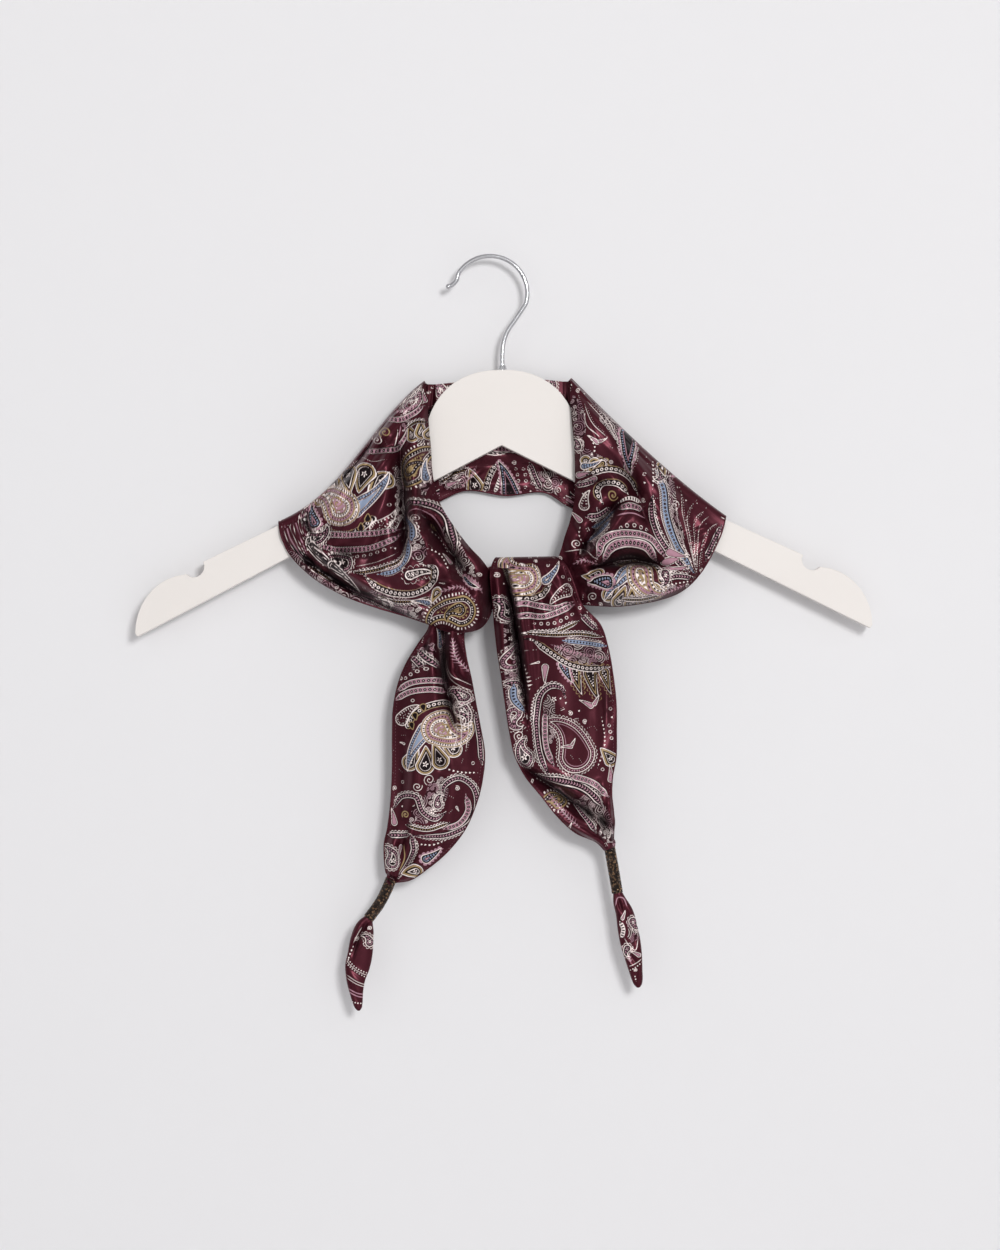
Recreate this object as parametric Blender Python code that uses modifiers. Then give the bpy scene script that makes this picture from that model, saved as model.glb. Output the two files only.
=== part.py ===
"""Triangle scarf, knotted over a shoulder-shaped hanger that hangs by its wire hook.

Metres, +Z up. The viewer looks along +Y. The origin is the top of the hook's inside, where a
rail or peg carries it. Tables are in millimetres, and left and right are the viewer's.
"""

from math import cos, pi, radians, sin

import bmesh
import bpy
import numpy as np
from mathutils import Matrix, Vector

MM = 0.001

# Driving dimensions, in millimetres
CLOTH_WALL = 1.8  # doubled satin
SEAM_GAP = 0.3
RIB_STEPS = 14  # cells along a rib, from the neck edge to the hem
ROW_STEPS = 2  # cells from one rib of a table to the next
THIRD_PEAK = 6.75  # scales v * (1 - v)^2 to 1 at v = 1/3, and v^2 * (1 - v) to 1 at v = 2/3
CURL_REACH = 9.0  # how far from its hem a cloth begins to curl back
FOLD_TAPER = 4.0  # a fold rises over the first quarter of its length and sinks over the last
FOLD_AT_END = 0.15  # the share of its height that a fold keeps at its very end

BOARD_THICK = 12.0
BOARD_EDGE = 1.2
BOARD_APEX = (7.0, -112.4)  # middle of the board's underside
BOARD_TILT = 0.67  # degrees, the left arm hangs lower
BOARD_DROP = 112.0  # from the apex down to an arm's tip
DOME_HALF_WIDTH = 46.8
DOME_HALF_HEIGHT = 50.7
DOME_CENTRE = -5.6  # height over the apex
DOME_POWER = 2.3  # 2 is an ellipse, and more is squarer
STRAP_NOTCH = {"out": 185.2, "height": -70.6, "radius": 6.4, "start": 153, "end": 319}
ARM_END = {"out": 188.0, "height": -110.0, "half_length": 32.5, "half_height": 35.0, "start": 86}
ARM_TOE = 1.2  # how far the corner below an arm's end lies in from it

WIRE_RADIUS = 1.4
HOOK_RADIUS = 21.0  # to the wire's inner side
HOOK_ARC = (148, -14)  # degrees, from the open side over the top
HOOK_LIP = ((-24.5, -16.6), (-22.6, -15.8), (-20.2, -13.4))  # x, z before the arc
HOOK_STEM = ((18.8, -31.4), (14.8, -37.4), (10.6, -43.6), (8.2, -50.0), (7.4, -57.0))
STEM_ASIDE = 0.5  # the stem enters the board this far to the right of its middle

SLEEVE_RADIUS = 2.9
LEFT_END_DEPTH = -7.0  # how far in front of the hook each beaded sleeve hangs
RIGHT_END_DEPTH = -8.0
KNOB = {"x": 71.4, "z": -351.0, "radius": 3.2}

COLOURS = {
    "satin": ((0.07, 0.012, 0.024), 0.38, 0.0),
    "white_wood": ((0.80, 0.76, 0.72), 0.5, 0.0),
    "chrome": ((0.72, 0.72, 0.73), 0.15, 1.0),
    "dark_beads": ((0.035, 0.025, 0.018), 0.3, 0.6),
}

# Each rib of a cloth is a row: its neck end and its hem end (x, z and depth y), how far it bows
# in its own plane and puffs towards the viewer at one and two thirds of its length, and how far
# the last of it curls back to the hem.
LEFT_WING = (
    # name, neck x, z, y, hem x, z, y, bow 1/3, 2/3, puff 1/3, 2/3, curl
    ("back seam", -33, -75, 8.3, -30.5, -145, 8.3, 0, 0, 0, 0, 0),
    ("back low", -36.5, -75, 7.4, -54, -158, 9.5, 0, 0, 0, 0, 0),
    ("back middle", -38, -75, 5.5, -84, -172, 10, 0, 0, 0, 0, 0),
    ("back outer", -38.5, -74.5, 3.8, -112, -177, 9.5, 1, -2, 0, 0, 0),
    ("back end", -39, -74.5, 2.8, -124, -166, 8.4, 2, -5, 0, 0, 0),
    ("arm back edge", -39, -74, 1.6, -126, -159.3, 6.9, 2, -7, 0, 0, 0),
    ("arm top", -39.5, -74, 0, -126.2, -158, 0, 2, -7, 0, 0, 0),
    ("arm front edge", -39, -74, -1.6, -126, -159.3, -6.9, 2, -7, 0, 0, 0),
    ("front end", -39, -75, -3.4, -125, -165, -8.6, 1.8, -6, 3, 1, 0),
    ("front outer", -38.5, -78, -5.5, -121, -175, -11, 2, -4, 5, 4, -3),
    ("shoulder", -37.5, -85, -7.8, -108.5, -189, -13, 1.5, -3, 6, 7, -5),
    ("breast", -37, -97, -9, -89.5, -201, -14, 1, -2, 5, 9, -6),
    ("breast middle", -35.5, -114.5, -9.5, -69, -209, -15, 0, -1, 4, 9, -6),
    ("breast inner", -34, -133, -10, -49, -215, -16, 0, 0, 3, 8, -5),
    ("neck low", -30, -147.5, -11.5, -36, -219.5, -17, -1, 0, 3, 6, -4),
    ("band outer", -22, -161, -13, -25, -223.5, -17.5, -1, 0, 4, 6, -3),
    ("band", -13, -173, -14, -14.5, -224, -17.5, 0, 0, 5, 7, -3),
    ("band end", -5.5, -181, -14.5, -5, -221, -15.5, 0, 0, 5, 6, -2),
    ("turn", -1.5, -186, -12.8, -0.5, -215, -12.8, 0, 0, 1, 1, 0),
    ("tuck", 1, -189, -11.4, 1, -211, -11.4, 0, 0, 0, 0, 0),
)
RIGHT_WING = (
    # name, neck x, z, y, hem x, z, y, bow 1/3, 2/3, puff 1/3, 2/3, curl
    ("back seam", 44, -73.3, 8.3, 46, -147.5, 8.3, 0, 0, 0, 0, 0),
    ("back low", 47, -73.3, 7.2, 69, -158, 9.5, 0, 0, 0, 0, 0),
    ("back middle", 47.5, -73, 5.5, 97, -167, 10, 0, 0, 0, 0, 0),
    ("back outer", 48, -72.5, 3.8, 126, -174, 9.5, 0, 0, 0, 0, 0),
    ("back end", 48, -72.5, 2.8, 138, -164, 8.4, 0, 0, 0, 0, 0),
    ("arm back edge", 48, -72.5, 1.6, 140.6, -155.8, 7.0, -1, -2, 0, 0, 0),
    ("arm top", 48.5, -72, 0, 141, -154.8, 0, -1, -2, 0, 0, 0),
    ("arm front edge", 48, -72.5, -1.6, 140.6, -155.8, -7.0, -1, -2, 0, 0, 0),
    ("front end", 48, -73, -3.4, 139, -162.5, -8.6, -1, -1.5, 2, 1, 0),
    ("front outer", 48.5, -76.5, -5.5, 134, -174.5, -10.5, 0, 0, 4, 3, -1),
    ("shoulder", 48, -84, -7.8, 128.5, -184.5, -12.5, 0, 0, 5, 5, -2),
    ("breast outer", 49, -97, -9, 122, -193, -14, 0, 0, 6, 7, -3),
    ("breast", 50.5, -113, -9.5, 113.5, -200, -15, 0, 0, 6, 8, -4),
    ("breast middle", 51, -130, -10, 102, -204.5, -16, 0, 0, 5, 8, -5),
    ("breast inner", 50.5, -146, -11, 90, -207, -17, 0, 0, 4, 7, -5),
    ("neck low", 48, -157.5, -12, 78, -208.5, -17, 0, 0, 3, 6, -5),
    ("band outer", 44.5, -168.5, -12, 69.5, -208.5, -15, 0, 0, 2, 4, -4),
    ("band", 42.5, -175, -11, 60, -208, -11.6, 0, 0, 0, 0.5, 0),
    ("tuck", 40, -182, -9.5, 54, -207.5, -10, 0, 0, 0, 0.5, 0),
)
NECK_BAND = (
    # name, top x, z, y, bottom x, z, y, bow 1/3, 2/3, puff 1/3, 2/3, curl
    ("left seam", -32.6, -75, 8.3, -30.1, -145, 8.3, 0, 0, 0, 0, 0),
    ("left", -20, -73.8, 8.3, -17.5, -139.3, 8.3, 0, 0, 0, 0, 0),
    ("middle", 8, -72.5, 8.5, 10, -141.8, 8.5, 0, 0, 0, 0, 0),
    ("right", 32, -72.2, 8.3, 35, -140.6, 8.3, 0, 0, 0, 0, 0),
    ("right seam", 43.6, -73.3, 8.3, 45.6, -147.5, 8.3, 0, 0, 0, 0, 0),
)
KNOT_WRAP = (
    # name, top x, z, y, bottom x, z, y, bow 1/3, 2/3, puff 1/3, 2/3, curl
    ("right seam", 39.0, -182, -9.3, 53.0, -207.6, -9.6, 0, 0, 0, 0, 0),
    ("under the fold", 26, -181.2, -8.8, 34, -208, -9.2, 0, 0, 0, 0, 0),
    ("middle", 10, -182.5, -8.6, 10, -209, -9, 0, 0, 0, 0, 0),
    ("behind the band", -10, -190, -9, -13, -214, -9.4, 0, 0, 0, 0, 0),
    ("left turn", -24, -203, -9.6, -26, -216, -9.8, 0, 0, 0, 0, 0),
)
LEFT_TAIL = (
    # name, left x, z, y, right x, z, y, bow 1/3, 2/3, puff 1/3, 2/3, curl
    ("hidden top", -35.5, -216.5, -10, -14, -217.5, -10, 0, 0, 1, 1, 0),
    ("below the band", -36, -221, -10, -15.5, -224, -10, 0, 0, 2, 2, 0),
    ("gather", -43, -232, -10, -14.5, -238, -10, 0, 0, 3, 3, 0),
    ("spread", -50, -243.5, -9.5, -11.5, -251.5, -10, 0, 0, 4, 4, 0),
    ("high", -54.5, -255, -9.5, -9, -265, -10, 0, 0, 4, 4, 0),
    ("upper", -57.5, -270, -9, -6, -281, -10, 0, 0, 4, 4, 0),
    ("widest", -58, -286, -9, -3.5, -296, -9, 0, 0, 4, 4, 0),
    ("lower", -58, -304, -9, -4.5, -310.5, -9, 0, 0, 4, 4, 0),
    ("narrowing", -59, -325, -8.5, -8.5, -327, -8.5, 0, 0, 4, 4, 0),
    ("low", -61, -341.5, -8, -16, -343.5, -8, 0, 0, 4, 4, 0),
    ("sweep", -63, -351, -7.5, -25.2, -355, -7.5, 0, 0, 3, 3, 0),
    ("point", -62.8, -361, -7.5, -36.8, -365, -7, 0, 0, 2, 2, 0),
    ("narrow point", -62, -367.5, -7, -48.5, -372.5, -7, 0, 0, 1.5, 1.5, 0),
    ("end", -61.2, -370.6, -7, -57.6, -374.2, -7, 0, 0, 0.5, 0.5, 0),
)
RIGHT_TAIL = (
    # name, left x, z, y, right x, z, y, bow 1/3, 2/3, puff 1/3, 2/3, curl
    ("back leg", 8, -202.5, -1.6, 42, -203, -1.6, 0, 0, 0, 0, 0),
    ("back leg top", 5.5, -187, -1.6, 38, -187, -1.6, 0, 0, 0, 0, 0),
    ("over the wrap", 4, -180, -8.5, 37.5, -179.5, -8.5, 0, 0, 0, 0, 0),
    ("fold", 0.8, -187, -17, 45, -184.5, -16.5, 0, 0, 1, 1, 0),
    ("fold low", 0.8, -196, -18, 50, -196, -17.8, 0, 0, 2, 2, 0),
    ("hem of the wing", 2, -207.5, -17.5, 54, -207, -18, 0, 0, 3, 3, 0),
    ("flare", 3, -220.5, -16, 65.5, -220, -16, 0, 0, 4, 4, 0),
    ("high", 4.6, -235, -14.5, 70, -233, -13.5, 0, 0, 4, 4, 0),
    ("upper", 7.3, -252, -13.5, 73, -249, -12, 0, 0, 4, 4, 0),
    ("middle", 9.8, -270, -12.5, 75, -267, -11.5, 0, 0, 4, 4, 0),
    ("lower", 12.2, -285, -11.5, 75.2, -283.5, -11, 0, 0, 4, 4, 0),
    ("sweep", 15.5, -299, -11, 75, -299, -10.5, 0, 0, 4, 4, 0),
    ("low", 21.5, -310.5, -10.5, 73, -310.5, -10, 0, 0, 3, 3, 0),
    ("narrowing", 30.5, -321.5, -10, 72.5, -321, -10, 0, 0, 3, 3, 0),
    ("point", 41, -334.5, -9.5, 73.5, -331, -9.5, 0, 0, 2, 2, 0),
    ("narrow point", 51.5, -344, -9, 74.2, -339.5, -9, 0, 0, 2, 2, 0),
    ("end", 64.5, -350.5, -8, 73, -346.3, -8, 0, 0, 0.5, 0.5, 0),
)

# Folds in the front of a cloth: from one place to another (x, z), with a bend to the left of the
# way there, a height towards the viewer (a valley has a negative one) and a half width.
FOLDS = {
    "scarf_left_wing": (
        # name, x0, z0, x1, z1, bend, height, half width
        ("neck roll", -40, -90, -43, -150, -2, 3, 5),
        ("valley by the roll", -53, -128, -55, -174, 0, -6, 5),
        ("valley to the knot", -42, -153, -24, -192, 2, -5, 4.5),
        ("under the hem", -119, -174, -46, -211, -3, -3, 4),
        ("cheek", -24, -188, -10, -204, 0, 3.5, 8),
        ("above the cheek", -26, -172, -8, -190, 0, -3, 4.5),
        ("outer pleat", -117, -153, -92, -190, -1, -2, 3),
        ("inner pleat", -109, -150, -82, -182, -1, -2, 3.5),
        ("ridge over the hem", -112, -168, -74, -196, -2, 2.5, 4.5),
        ("hollow at the shoulder", -66, -108, -98, -146, 0, -2, 8),
    ),
    "scarf_right_wing": (
        ("pocket", 60, -170, 98, -184, 2, -6, 8),
        ("lip over the pocket", 66, -158, 106, -170, 3, 2, 7),
        ("lower roll", 70, -198, 116, -194, -3, 4, 7),
        ("long valley", 75.5, -106, 97, -162, 0, -3, 5),
        ("neck ridge", 58, -92, 62, -160, 0, 2.5, 8),
        ("outer ridge", 93, -112, 104, -157, 0, 3, 9),
        ("hollow at the shoulder", 66, -88, 118, -142, 0, -1.5, 6),
    ),
    "scarf_left_tail": (
        ("valley below the knot", -29, -214, -28, -245, 0, -5, 4.5),
        ("valley end", -28, -245, -21, -275, 0, -4, 5.5),
        ("gather", -59, -342, -57, -371, 0, -2, 3),
        ("low gather", -48, -350, -55, -372, 0, -1.5, 3),
        ("left ridge", -44, -240, -46, -330, 3, 2.5, 9),
        ("right ridge", -17, -240, -14, -300, 0, 2, 6),
    ),
    "scarf_right_tail": (
        ("deep pleat", 11, -184, 16, -266, 0, -5, 4),
        ("edge strip", 4.5, -193, 9, -259, 0, 1.5, 3.5),
        ("sweep valley", 28, -309, 68, -335, -2, -3.5, 4),
        ("sweep roll", 24, -316, 60, -343, -2, 2.5, 4.5),
        ("middle ridge", 40, -205, 46, -300, 0, 3, 13),
        ("right valley", 60, -222, 66, -262, 0, -2, 6),
    ),
}

LEFT_SLEEVE = ((-60.1, -374.0), (-62.6, -378.6), (-66.2, -385.4), (-71.9, -394.2))  # x, z
RIGHT_SLEEVE = ((71.9, -354.5), (73.0, -361), (74.3, -369), (76.0, -379))
LEFT_LEAF = (
    # x, z, half width, half thickness
    (-72.5, -395.0, 2.2, 1.5),
    (-74.6, -399.8, 5.0, 2.2),
    (-76.5, -408, 6.8, 2.8),
    (-77.6, -416.5, 7.4, 2.9),
    (-79.2, -424, 7.4, 2.8),
    (-80.2, -432, 5.6, 2.4),
    (-80, -440, 3.6, 1.9),
    (-79.3, -447, 2.0, 1.4),
    (-79, -450.5, 0.8, 0.8),
)
RIGHT_LEAF = (
    (76.1, -379.5, 2.2, 1.5),
    (77.6, -385, 4.0, 2.0),
    (80.4, -392, 5.2, 2.5),
    (82.2, -401, 6.0, 2.7),
    (84.2, -410, 6.0, 2.6),
    (86.2, -419, 5.0, 2.4),
    (87.6, -427, 3.4, 1.9),
    (88.6, -433, 2.0, 1.4),
    (89.0, -436.5, 0.8, 0.8),
)


def clear_scene():
    for thing in list(bpy.data.objects):
        bpy.data.objects.remove(thing, do_unlink=True)


def make_material(name):
    colour, roughness, metallic = COLOURS[name]
    material = bpy.data.materials.new(name)
    material.use_nodes = True
    shader = material.node_tree.nodes["Principled BSDF"]
    shader.inputs["Base Color"].default_value = (*colour, 1.0)
    shader.inputs["Roughness"].default_value = roughness
    shader.inputs["Metallic"].default_value = metallic
    return material


def add_object(name, data, finish):
    thing = bpy.data.objects.new(name, data)
    data.materials.append(make_material(finish))
    thing_collection.objects.link(thing)
    return thing


def smoothed(rows, spans, steps):
    """The rows joined by a smooth curve, with steps cells over each of the spans between them."""
    keys = np.concatenate(([0.0], np.cumsum(spans)))
    slopes = np.gradient(rows, keys, axis=0)
    out = []
    for i, span in enumerate(spans):
        for t in np.arange(steps) / steps:
            start = (2 * t**3 - 3 * t**2 + 1) * rows[i] + (t**3 - 2 * t**2 + t) * span * slopes[i]
            end = (3 * t**2 - 2 * t**3) * rows[i + 1] + (t**3 - t**2) * span * slopes[i + 1]
            out.append(start + end)
    return np.array([*out, rows[-1]])


def smooth_rows(table):
    """The table's numbers, spaced by how far the ribs' two ends move from row to row."""
    rows = np.array([row[1:] for row in table], dtype=float)
    return smoothed(rows, np.linalg.norm(np.diff(rows[:, :6], axis=0), axis=1), ROW_STEPS)


def smooth_path(places, steps=3):
    """A smooth line through places (x, z)."""
    places = np.array(places, dtype=float)
    return smoothed(places, np.linalg.norm(np.diff(places, axis=0), axis=1), steps)


def rib_points(row):
    """Points along one rib, from its neck end to its hem end, in millimetres."""
    neck, hem = row[[0, 2, 1]], row[[3, 5, 4]]
    bow_neck, bow_hem, puff_neck, puff_hem, curl = row[6:]
    v = np.linspace(0.0, 1.0, RIB_STEPS + 1)
    near_neck = THIRD_PEAK * v * (1 - v) ** 2
    near_hem = THIRD_PEAK * v**2 * (1 - v)
    length = np.hypot(hem[0] - neck[0], hem[2] - neck[2])
    aside = np.array([hem[2] - neck[2], 0.0, neck[0] - hem[0]]) / length
    if aside[2] < 0:
        aside = -aside
    points = neck + np.outer(v, hem - neck)
    points[:, 1] = neck[1] + (hem[1] - neck[1]) * (1 - (1 - v) ** 3)
    points += np.outer(bow_neck * near_neck + bow_hem * near_hem, aside)
    points[:, 1] -= puff_neck * near_neck + puff_hem * near_hem
    from_hem = (1 - v) * length
    points[:, 1] -= curl * np.clip(1 - from_hem / CURL_REACH, 0, 1) ** 2
    return points


def press_folds(points, folds, first_row):
    """Moves the cloth from first_row on towards the viewer or back, near each fold's line."""
    front = points[first_row:]
    place = front[..., [0, 2]]
    for _name, x0, z0, x1, z1, bend, height, half_width in folds:
        start, end = np.array((x0, z0)), np.array((x1, z1))
        way = end - start
        left = np.array((-way[1], way[0])) / np.linalg.norm(way)
        nearest = np.full(place.shape[:2], np.inf)
        strength = np.zeros(place.shape[:2])
        for t in np.linspace(0, 1, 15):
            on_line = start + way * t + left * bend * 4 * t * (1 - t)
            away = np.linalg.norm(place - on_line, axis=-1)
            closer = away < nearest
            nearest = np.where(closer, away, nearest)
            rise = min(1.0, FOLD_TAPER * min(t, 1 - t) + FOLD_AT_END)
            strength = np.where(closer, rise, strength)
        front[..., 1] -= height * strength * np.exp(-((nearest / half_width) ** 2))


def add_cloth(name, table, first_row=0):
    """A doubled cloth through the table's ribs; its folds begin at first_row of the table."""
    points = np.array([rib_points(row) for row in smooth_rows(table)])
    press_folds(points, FOLDS.get(name, ()), first_row * ROW_STEPS)
    rows, columns = points.shape[:2]
    sheet = bmesh.new()
    bmesh.ops.create_grid(sheet, x_segments=columns - 1, y_segments=rows - 1, size=1.0)
    for vert, place in zip(sheet.verts, points.reshape(-1, 3)):
        vert.co = Vector(place) * MM
    mesh = bpy.data.meshes.new(name)
    sheet.to_mesh(mesh)
    sheet.free()
    cloth = add_object(name, mesh, "satin")
    wall = cloth.modifiers.new("wall", "SOLIDIFY")
    wall.thickness = CLOTH_WALL * MM
    wall.offset = 0.0
    mesh.shade_smooth()
    return cloth


def add_wire(name, places, radius, finish, depth=0.0):
    """A round rod along places (x, z) at the given depth, with closed ends."""
    curve = bpy.data.curves.new(name, "CURVE")
    curve.dimensions = "3D"
    curve.bevel_depth = radius * MM
    curve.bevel_resolution = 2
    curve.use_fill_caps = True
    line = curve.splines.new("POLY")
    line.points.add(len(places) - 1)
    for point, (x, z) in zip(line.points, places):
        point.co = (x * MM, depth * MM, z * MM, 1.0)
    return add_object(name, curve, finish)


def add_hook():
    bend_radius = HOOK_RADIUS + WIRE_RADIUS
    first, last = HOOK_ARC
    arc = [
        (bend_radius * cos(radians(a)), bend_radius * sin(radians(a)) - HOOK_RADIUS)
        for a in np.linspace(first, last, 10)
    ]
    stem_foot = BOARD_APEX[1] + DOME_CENTRE + DOME_HALF_HEIGHT + SEAM_GAP
    places = [*HOOK_LIP, *arc, *HOOK_STEM, (BOARD_APEX[0] + STEM_ASIDE, stem_foot)]
    return add_wire("hanger_hook", smooth_path(places), WIRE_RADIUS, "chrome")


def board_half_outline():
    """Half of the board's outline round from the dome's top to the arm's tip, over the apex."""
    outline = []
    for angle in np.linspace(pi / 2, 0, 14):
        out = DOME_HALF_WIDTH * cos(angle) ** (2 / DOME_POWER)
        up = DOME_CENTRE + DOME_HALF_HEIGHT * sin(angle) ** (2 / DOME_POWER)
        outline.append((out, up))
    for angle in np.linspace(radians(STRAP_NOTCH["start"]), radians(STRAP_NOTCH["end"]), 9):
        out = STRAP_NOTCH["out"] + STRAP_NOTCH["radius"] * cos(angle)
        outline.append((out, STRAP_NOTCH["height"] + STRAP_NOTCH["radius"] * sin(angle)))
    for angle in np.linspace(radians(ARM_END["start"]), 0, 10):
        out = ARM_END["out"] + ARM_END["half_length"] * cos(angle)
        outline.append((out, ARM_END["height"] + ARM_END["half_height"] * sin(angle)))
    outline.append((ARM_END["out"] + ARM_END["half_length"] - ARM_TOE, -BOARD_DROP))
    return outline


def add_board():
    right = board_half_outline()
    left = [(-out, up) for out, up in reversed(right[1:])]
    outline = [*right, (0.0, 0.0), *left]
    curve = bpy.data.curves.new("hanger_board", "CURVE")
    curve.dimensions = "2D"
    curve.fill_mode = "BOTH"
    curve.extrude = BOARD_THICK / 2 * MM
    line = curve.splines.new("POLY")
    line.use_cyclic_u = True
    line.points.add(len(outline) - 1)
    for point, (out, up) in zip(line.points, outline):
        point.co = (out * MM, up * MM, 0.0, 1.0)
    board = add_object("hanger_board", curve, "white_wood")
    board.location = (BOARD_APEX[0] * MM, 0.0, BOARD_APEX[1] * MM)
    board.rotation_euler = (pi / 2, -radians(BOARD_TILT), 0.0)
    weld = board.modifiers.new("closed", "WELD")
    weld.merge_threshold = 0.00001
    edge = board.modifiers.new("edge", "BEVEL")
    edge.width = BOARD_EDGE * MM
    edge.segments = 2
    edge.limit_method = "ANGLE"
    edge.angle_limit = radians(60)
    return board


def add_leaf(name, table, depth, sides=10):
    """A padded leaf of cloth, lofted through flattened rings."""
    leaf = bmesh.new()
    rings = []
    middles = [Vector((x, 0.0, z)) for x, z, _, _ in table]
    for i, (_, _, half_width, half_thick) in enumerate(table):
        way = (middles[min(i + 1, len(table) - 1)] - middles[max(i - 1, 0)]).normalized()
        aside = Vector((-way.z, 0.0, way.x))
        ring = []
        for a in np.linspace(0, 2 * pi, sides, endpoint=False):
            place = middles[i] + aside * half_width * cos(a)
            place.y = depth - half_thick * sin(a)
            ring.append(leaf.verts.new(place * MM))
        rings.append(ring)
    for upper, lower in zip(rings, rings[1:]):
        for i in range(sides):
            j = (i + 1) % sides
            leaf.faces.new((upper[i], upper[j], lower[j], lower[i]))
    leaf.faces.new(rings[0])
    leaf.faces.new(rings[-1])
    bmesh.ops.recalc_face_normals(leaf, faces=leaf.faces)
    mesh = bpy.data.meshes.new(name)
    leaf.to_mesh(mesh)
    leaf.free()
    mesh.shade_smooth()
    return add_object(name, mesh, "satin")


def add_knob():
    ball = bmesh.new()
    place = Matrix.Translation(Vector((KNOB["x"], RIGHT_END_DEPTH, KNOB["z"])) * MM)
    bmesh.ops.create_uvsphere(
        ball, u_segments=12, v_segments=8, radius=KNOB["radius"] * MM, matrix=place
    )
    mesh = bpy.data.meshes.new("right_end_knob")
    ball.to_mesh(mesh)
    ball.free()
    mesh.shade_smooth()
    return add_object("right_end_knob", mesh, "satin")


clear_scene()
thing_collection = bpy.data.collections.new("triangle_scarf")
bpy.context.scene.collection.children.link(thing_collection)

add_board()
add_hook()
add_cloth("scarf_neck_band", NECK_BAND)
add_cloth("scarf_left_wing", LEFT_WING, first_row=8)
add_cloth("scarf_right_wing", RIGHT_WING, first_row=8)
add_cloth("scarf_knot_wrap", KNOT_WRAP)
add_cloth("scarf_left_tail", LEFT_TAIL)
add_cloth("scarf_right_tail", RIGHT_TAIL, first_row=3)
add_wire("left_bead_sleeve", smooth_path(LEFT_SLEEVE), SLEEVE_RADIUS, "dark_beads", LEFT_END_DEPTH)
add_wire("right_bead_sleeve", smooth_path(RIGHT_SLEEVE), SLEEVE_RADIUS, "dark_beads", RIGHT_END_DEPTH)
add_leaf("left_leaf_tip", LEFT_LEAF, LEFT_END_DEPTH)
add_leaf("right_leaf_tip", RIGHT_LEAF, RIGHT_END_DEPTH)
add_knob()
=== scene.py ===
from math import cos, pi, radians, sin

import bmesh
import bpy
import numpy as np
from mathutils import Matrix, Vector


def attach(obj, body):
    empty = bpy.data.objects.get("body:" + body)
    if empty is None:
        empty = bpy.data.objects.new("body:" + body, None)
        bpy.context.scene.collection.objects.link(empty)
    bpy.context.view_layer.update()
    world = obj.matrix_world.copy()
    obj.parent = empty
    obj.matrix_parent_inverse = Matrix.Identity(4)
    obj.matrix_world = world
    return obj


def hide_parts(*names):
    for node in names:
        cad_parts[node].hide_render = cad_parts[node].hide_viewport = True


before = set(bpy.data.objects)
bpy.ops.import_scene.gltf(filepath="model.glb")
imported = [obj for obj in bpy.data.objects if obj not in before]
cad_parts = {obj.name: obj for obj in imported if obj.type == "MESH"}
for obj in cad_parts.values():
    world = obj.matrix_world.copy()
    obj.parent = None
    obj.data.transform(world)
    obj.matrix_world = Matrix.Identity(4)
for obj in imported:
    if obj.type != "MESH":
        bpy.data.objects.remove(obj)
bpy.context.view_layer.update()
mm = 0.001  # the dictionaries below hold millimetres; x is to the viewer's right, z up, y away
soft = np.random.default_rng(7)  # the only random source, so each run gives the same cloth



def addNode(tree, kind, inputs=None, **settings):
    made = tree.nodes.new(kind)
    for name, value in settings.items():
        setattr(made, name, value)
    for socket, value in (inputs or {}).items():
        if isinstance(value, bpy.types.NodeSocket):
            tree.links.new(value, made.inputs[socket])
        else:
            made.inputs[socket].default_value = value
    return made


def addMath(tree, operation, first, second=0.0):
    return addNode(tree, "ShaderNodeMath", {0: first, 1: second}, operation=operation).outputs[0]


def mixColours(tree, share, under, over):
    return addNode(
        tree, "ShaderNodeMix", {0: share, 6: under, 7: over}, data_type="RGBA"
    ).outputs[2]


def newMaterial(name, **sockets):
    material = bpy.data.materials.new(name)
    material.use_nodes = True
    shader = material.node_tree.nodes["Principled BSDF"]
    for socket, value in sockets.items():
        shader.inputs[socket.replace("_", " ")].default_value = value
    return material, material.node_tree, shader


def addPiece(name, mesh, finish, nodes=()):
    mesh.materials.clear()
    mesh.materials.append(finish)
    piece = bpy.data.objects.new(name, mesh)
    bpy.context.scene.collection.objects.link(piece)
    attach(piece, "root")
    if nodes:
        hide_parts(*nodes)
    return piece


def meshOf(name, places, faces=(), edges=()):
    mesh = bpy.data.meshes.new(name)
    mesh.from_pydata([tuple(p) for p in np.asarray(places, float) * mm], list(edges), list(faces))
    mesh.update()
    return mesh


def bakeDown(piece):
    # The evaluated object as a plain mesh, so that no modifier is left on a finished piece
    bpy.context.view_layer.update()
    shown = piece.evaluated_get(bpy.context.evaluated_depsgraph_get())
    mesh = bpy.data.meshes.new_from_object(shown)
    mesh.name = piece.name
    bpy.data.objects.remove(piece, do_unlink=True)
    return mesh


def smoothPath(places, spacing):
    # A smooth curve through the places, with a point about every spacing millimetres
    places = np.asarray(places, float)
    gaps = np.linalg.norm(np.diff(places, axis=0), axis=1)
    keys = np.concatenate(([0.0], np.cumsum(gaps)))
    slopes = np.gradient(places, keys, axis=0)
    out = []
    for i, gap in enumerate(gaps):
        steps = max(1, int(np.ceil(gap / spacing)))
        for t in np.arange(steps) / steps:
            start = (2 * t**3 - 3 * t**2 + 1) * places[i] + (t**3 - 2 * t**2 + t) * gap * slopes[i]
            end = (3 * t**2 - 2 * t**3) * places[i + 1] + (t**3 - t**2) * gap * slopes[i + 1]
            out.append(start + end)
    return np.array(out + [places[-1]])



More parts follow.
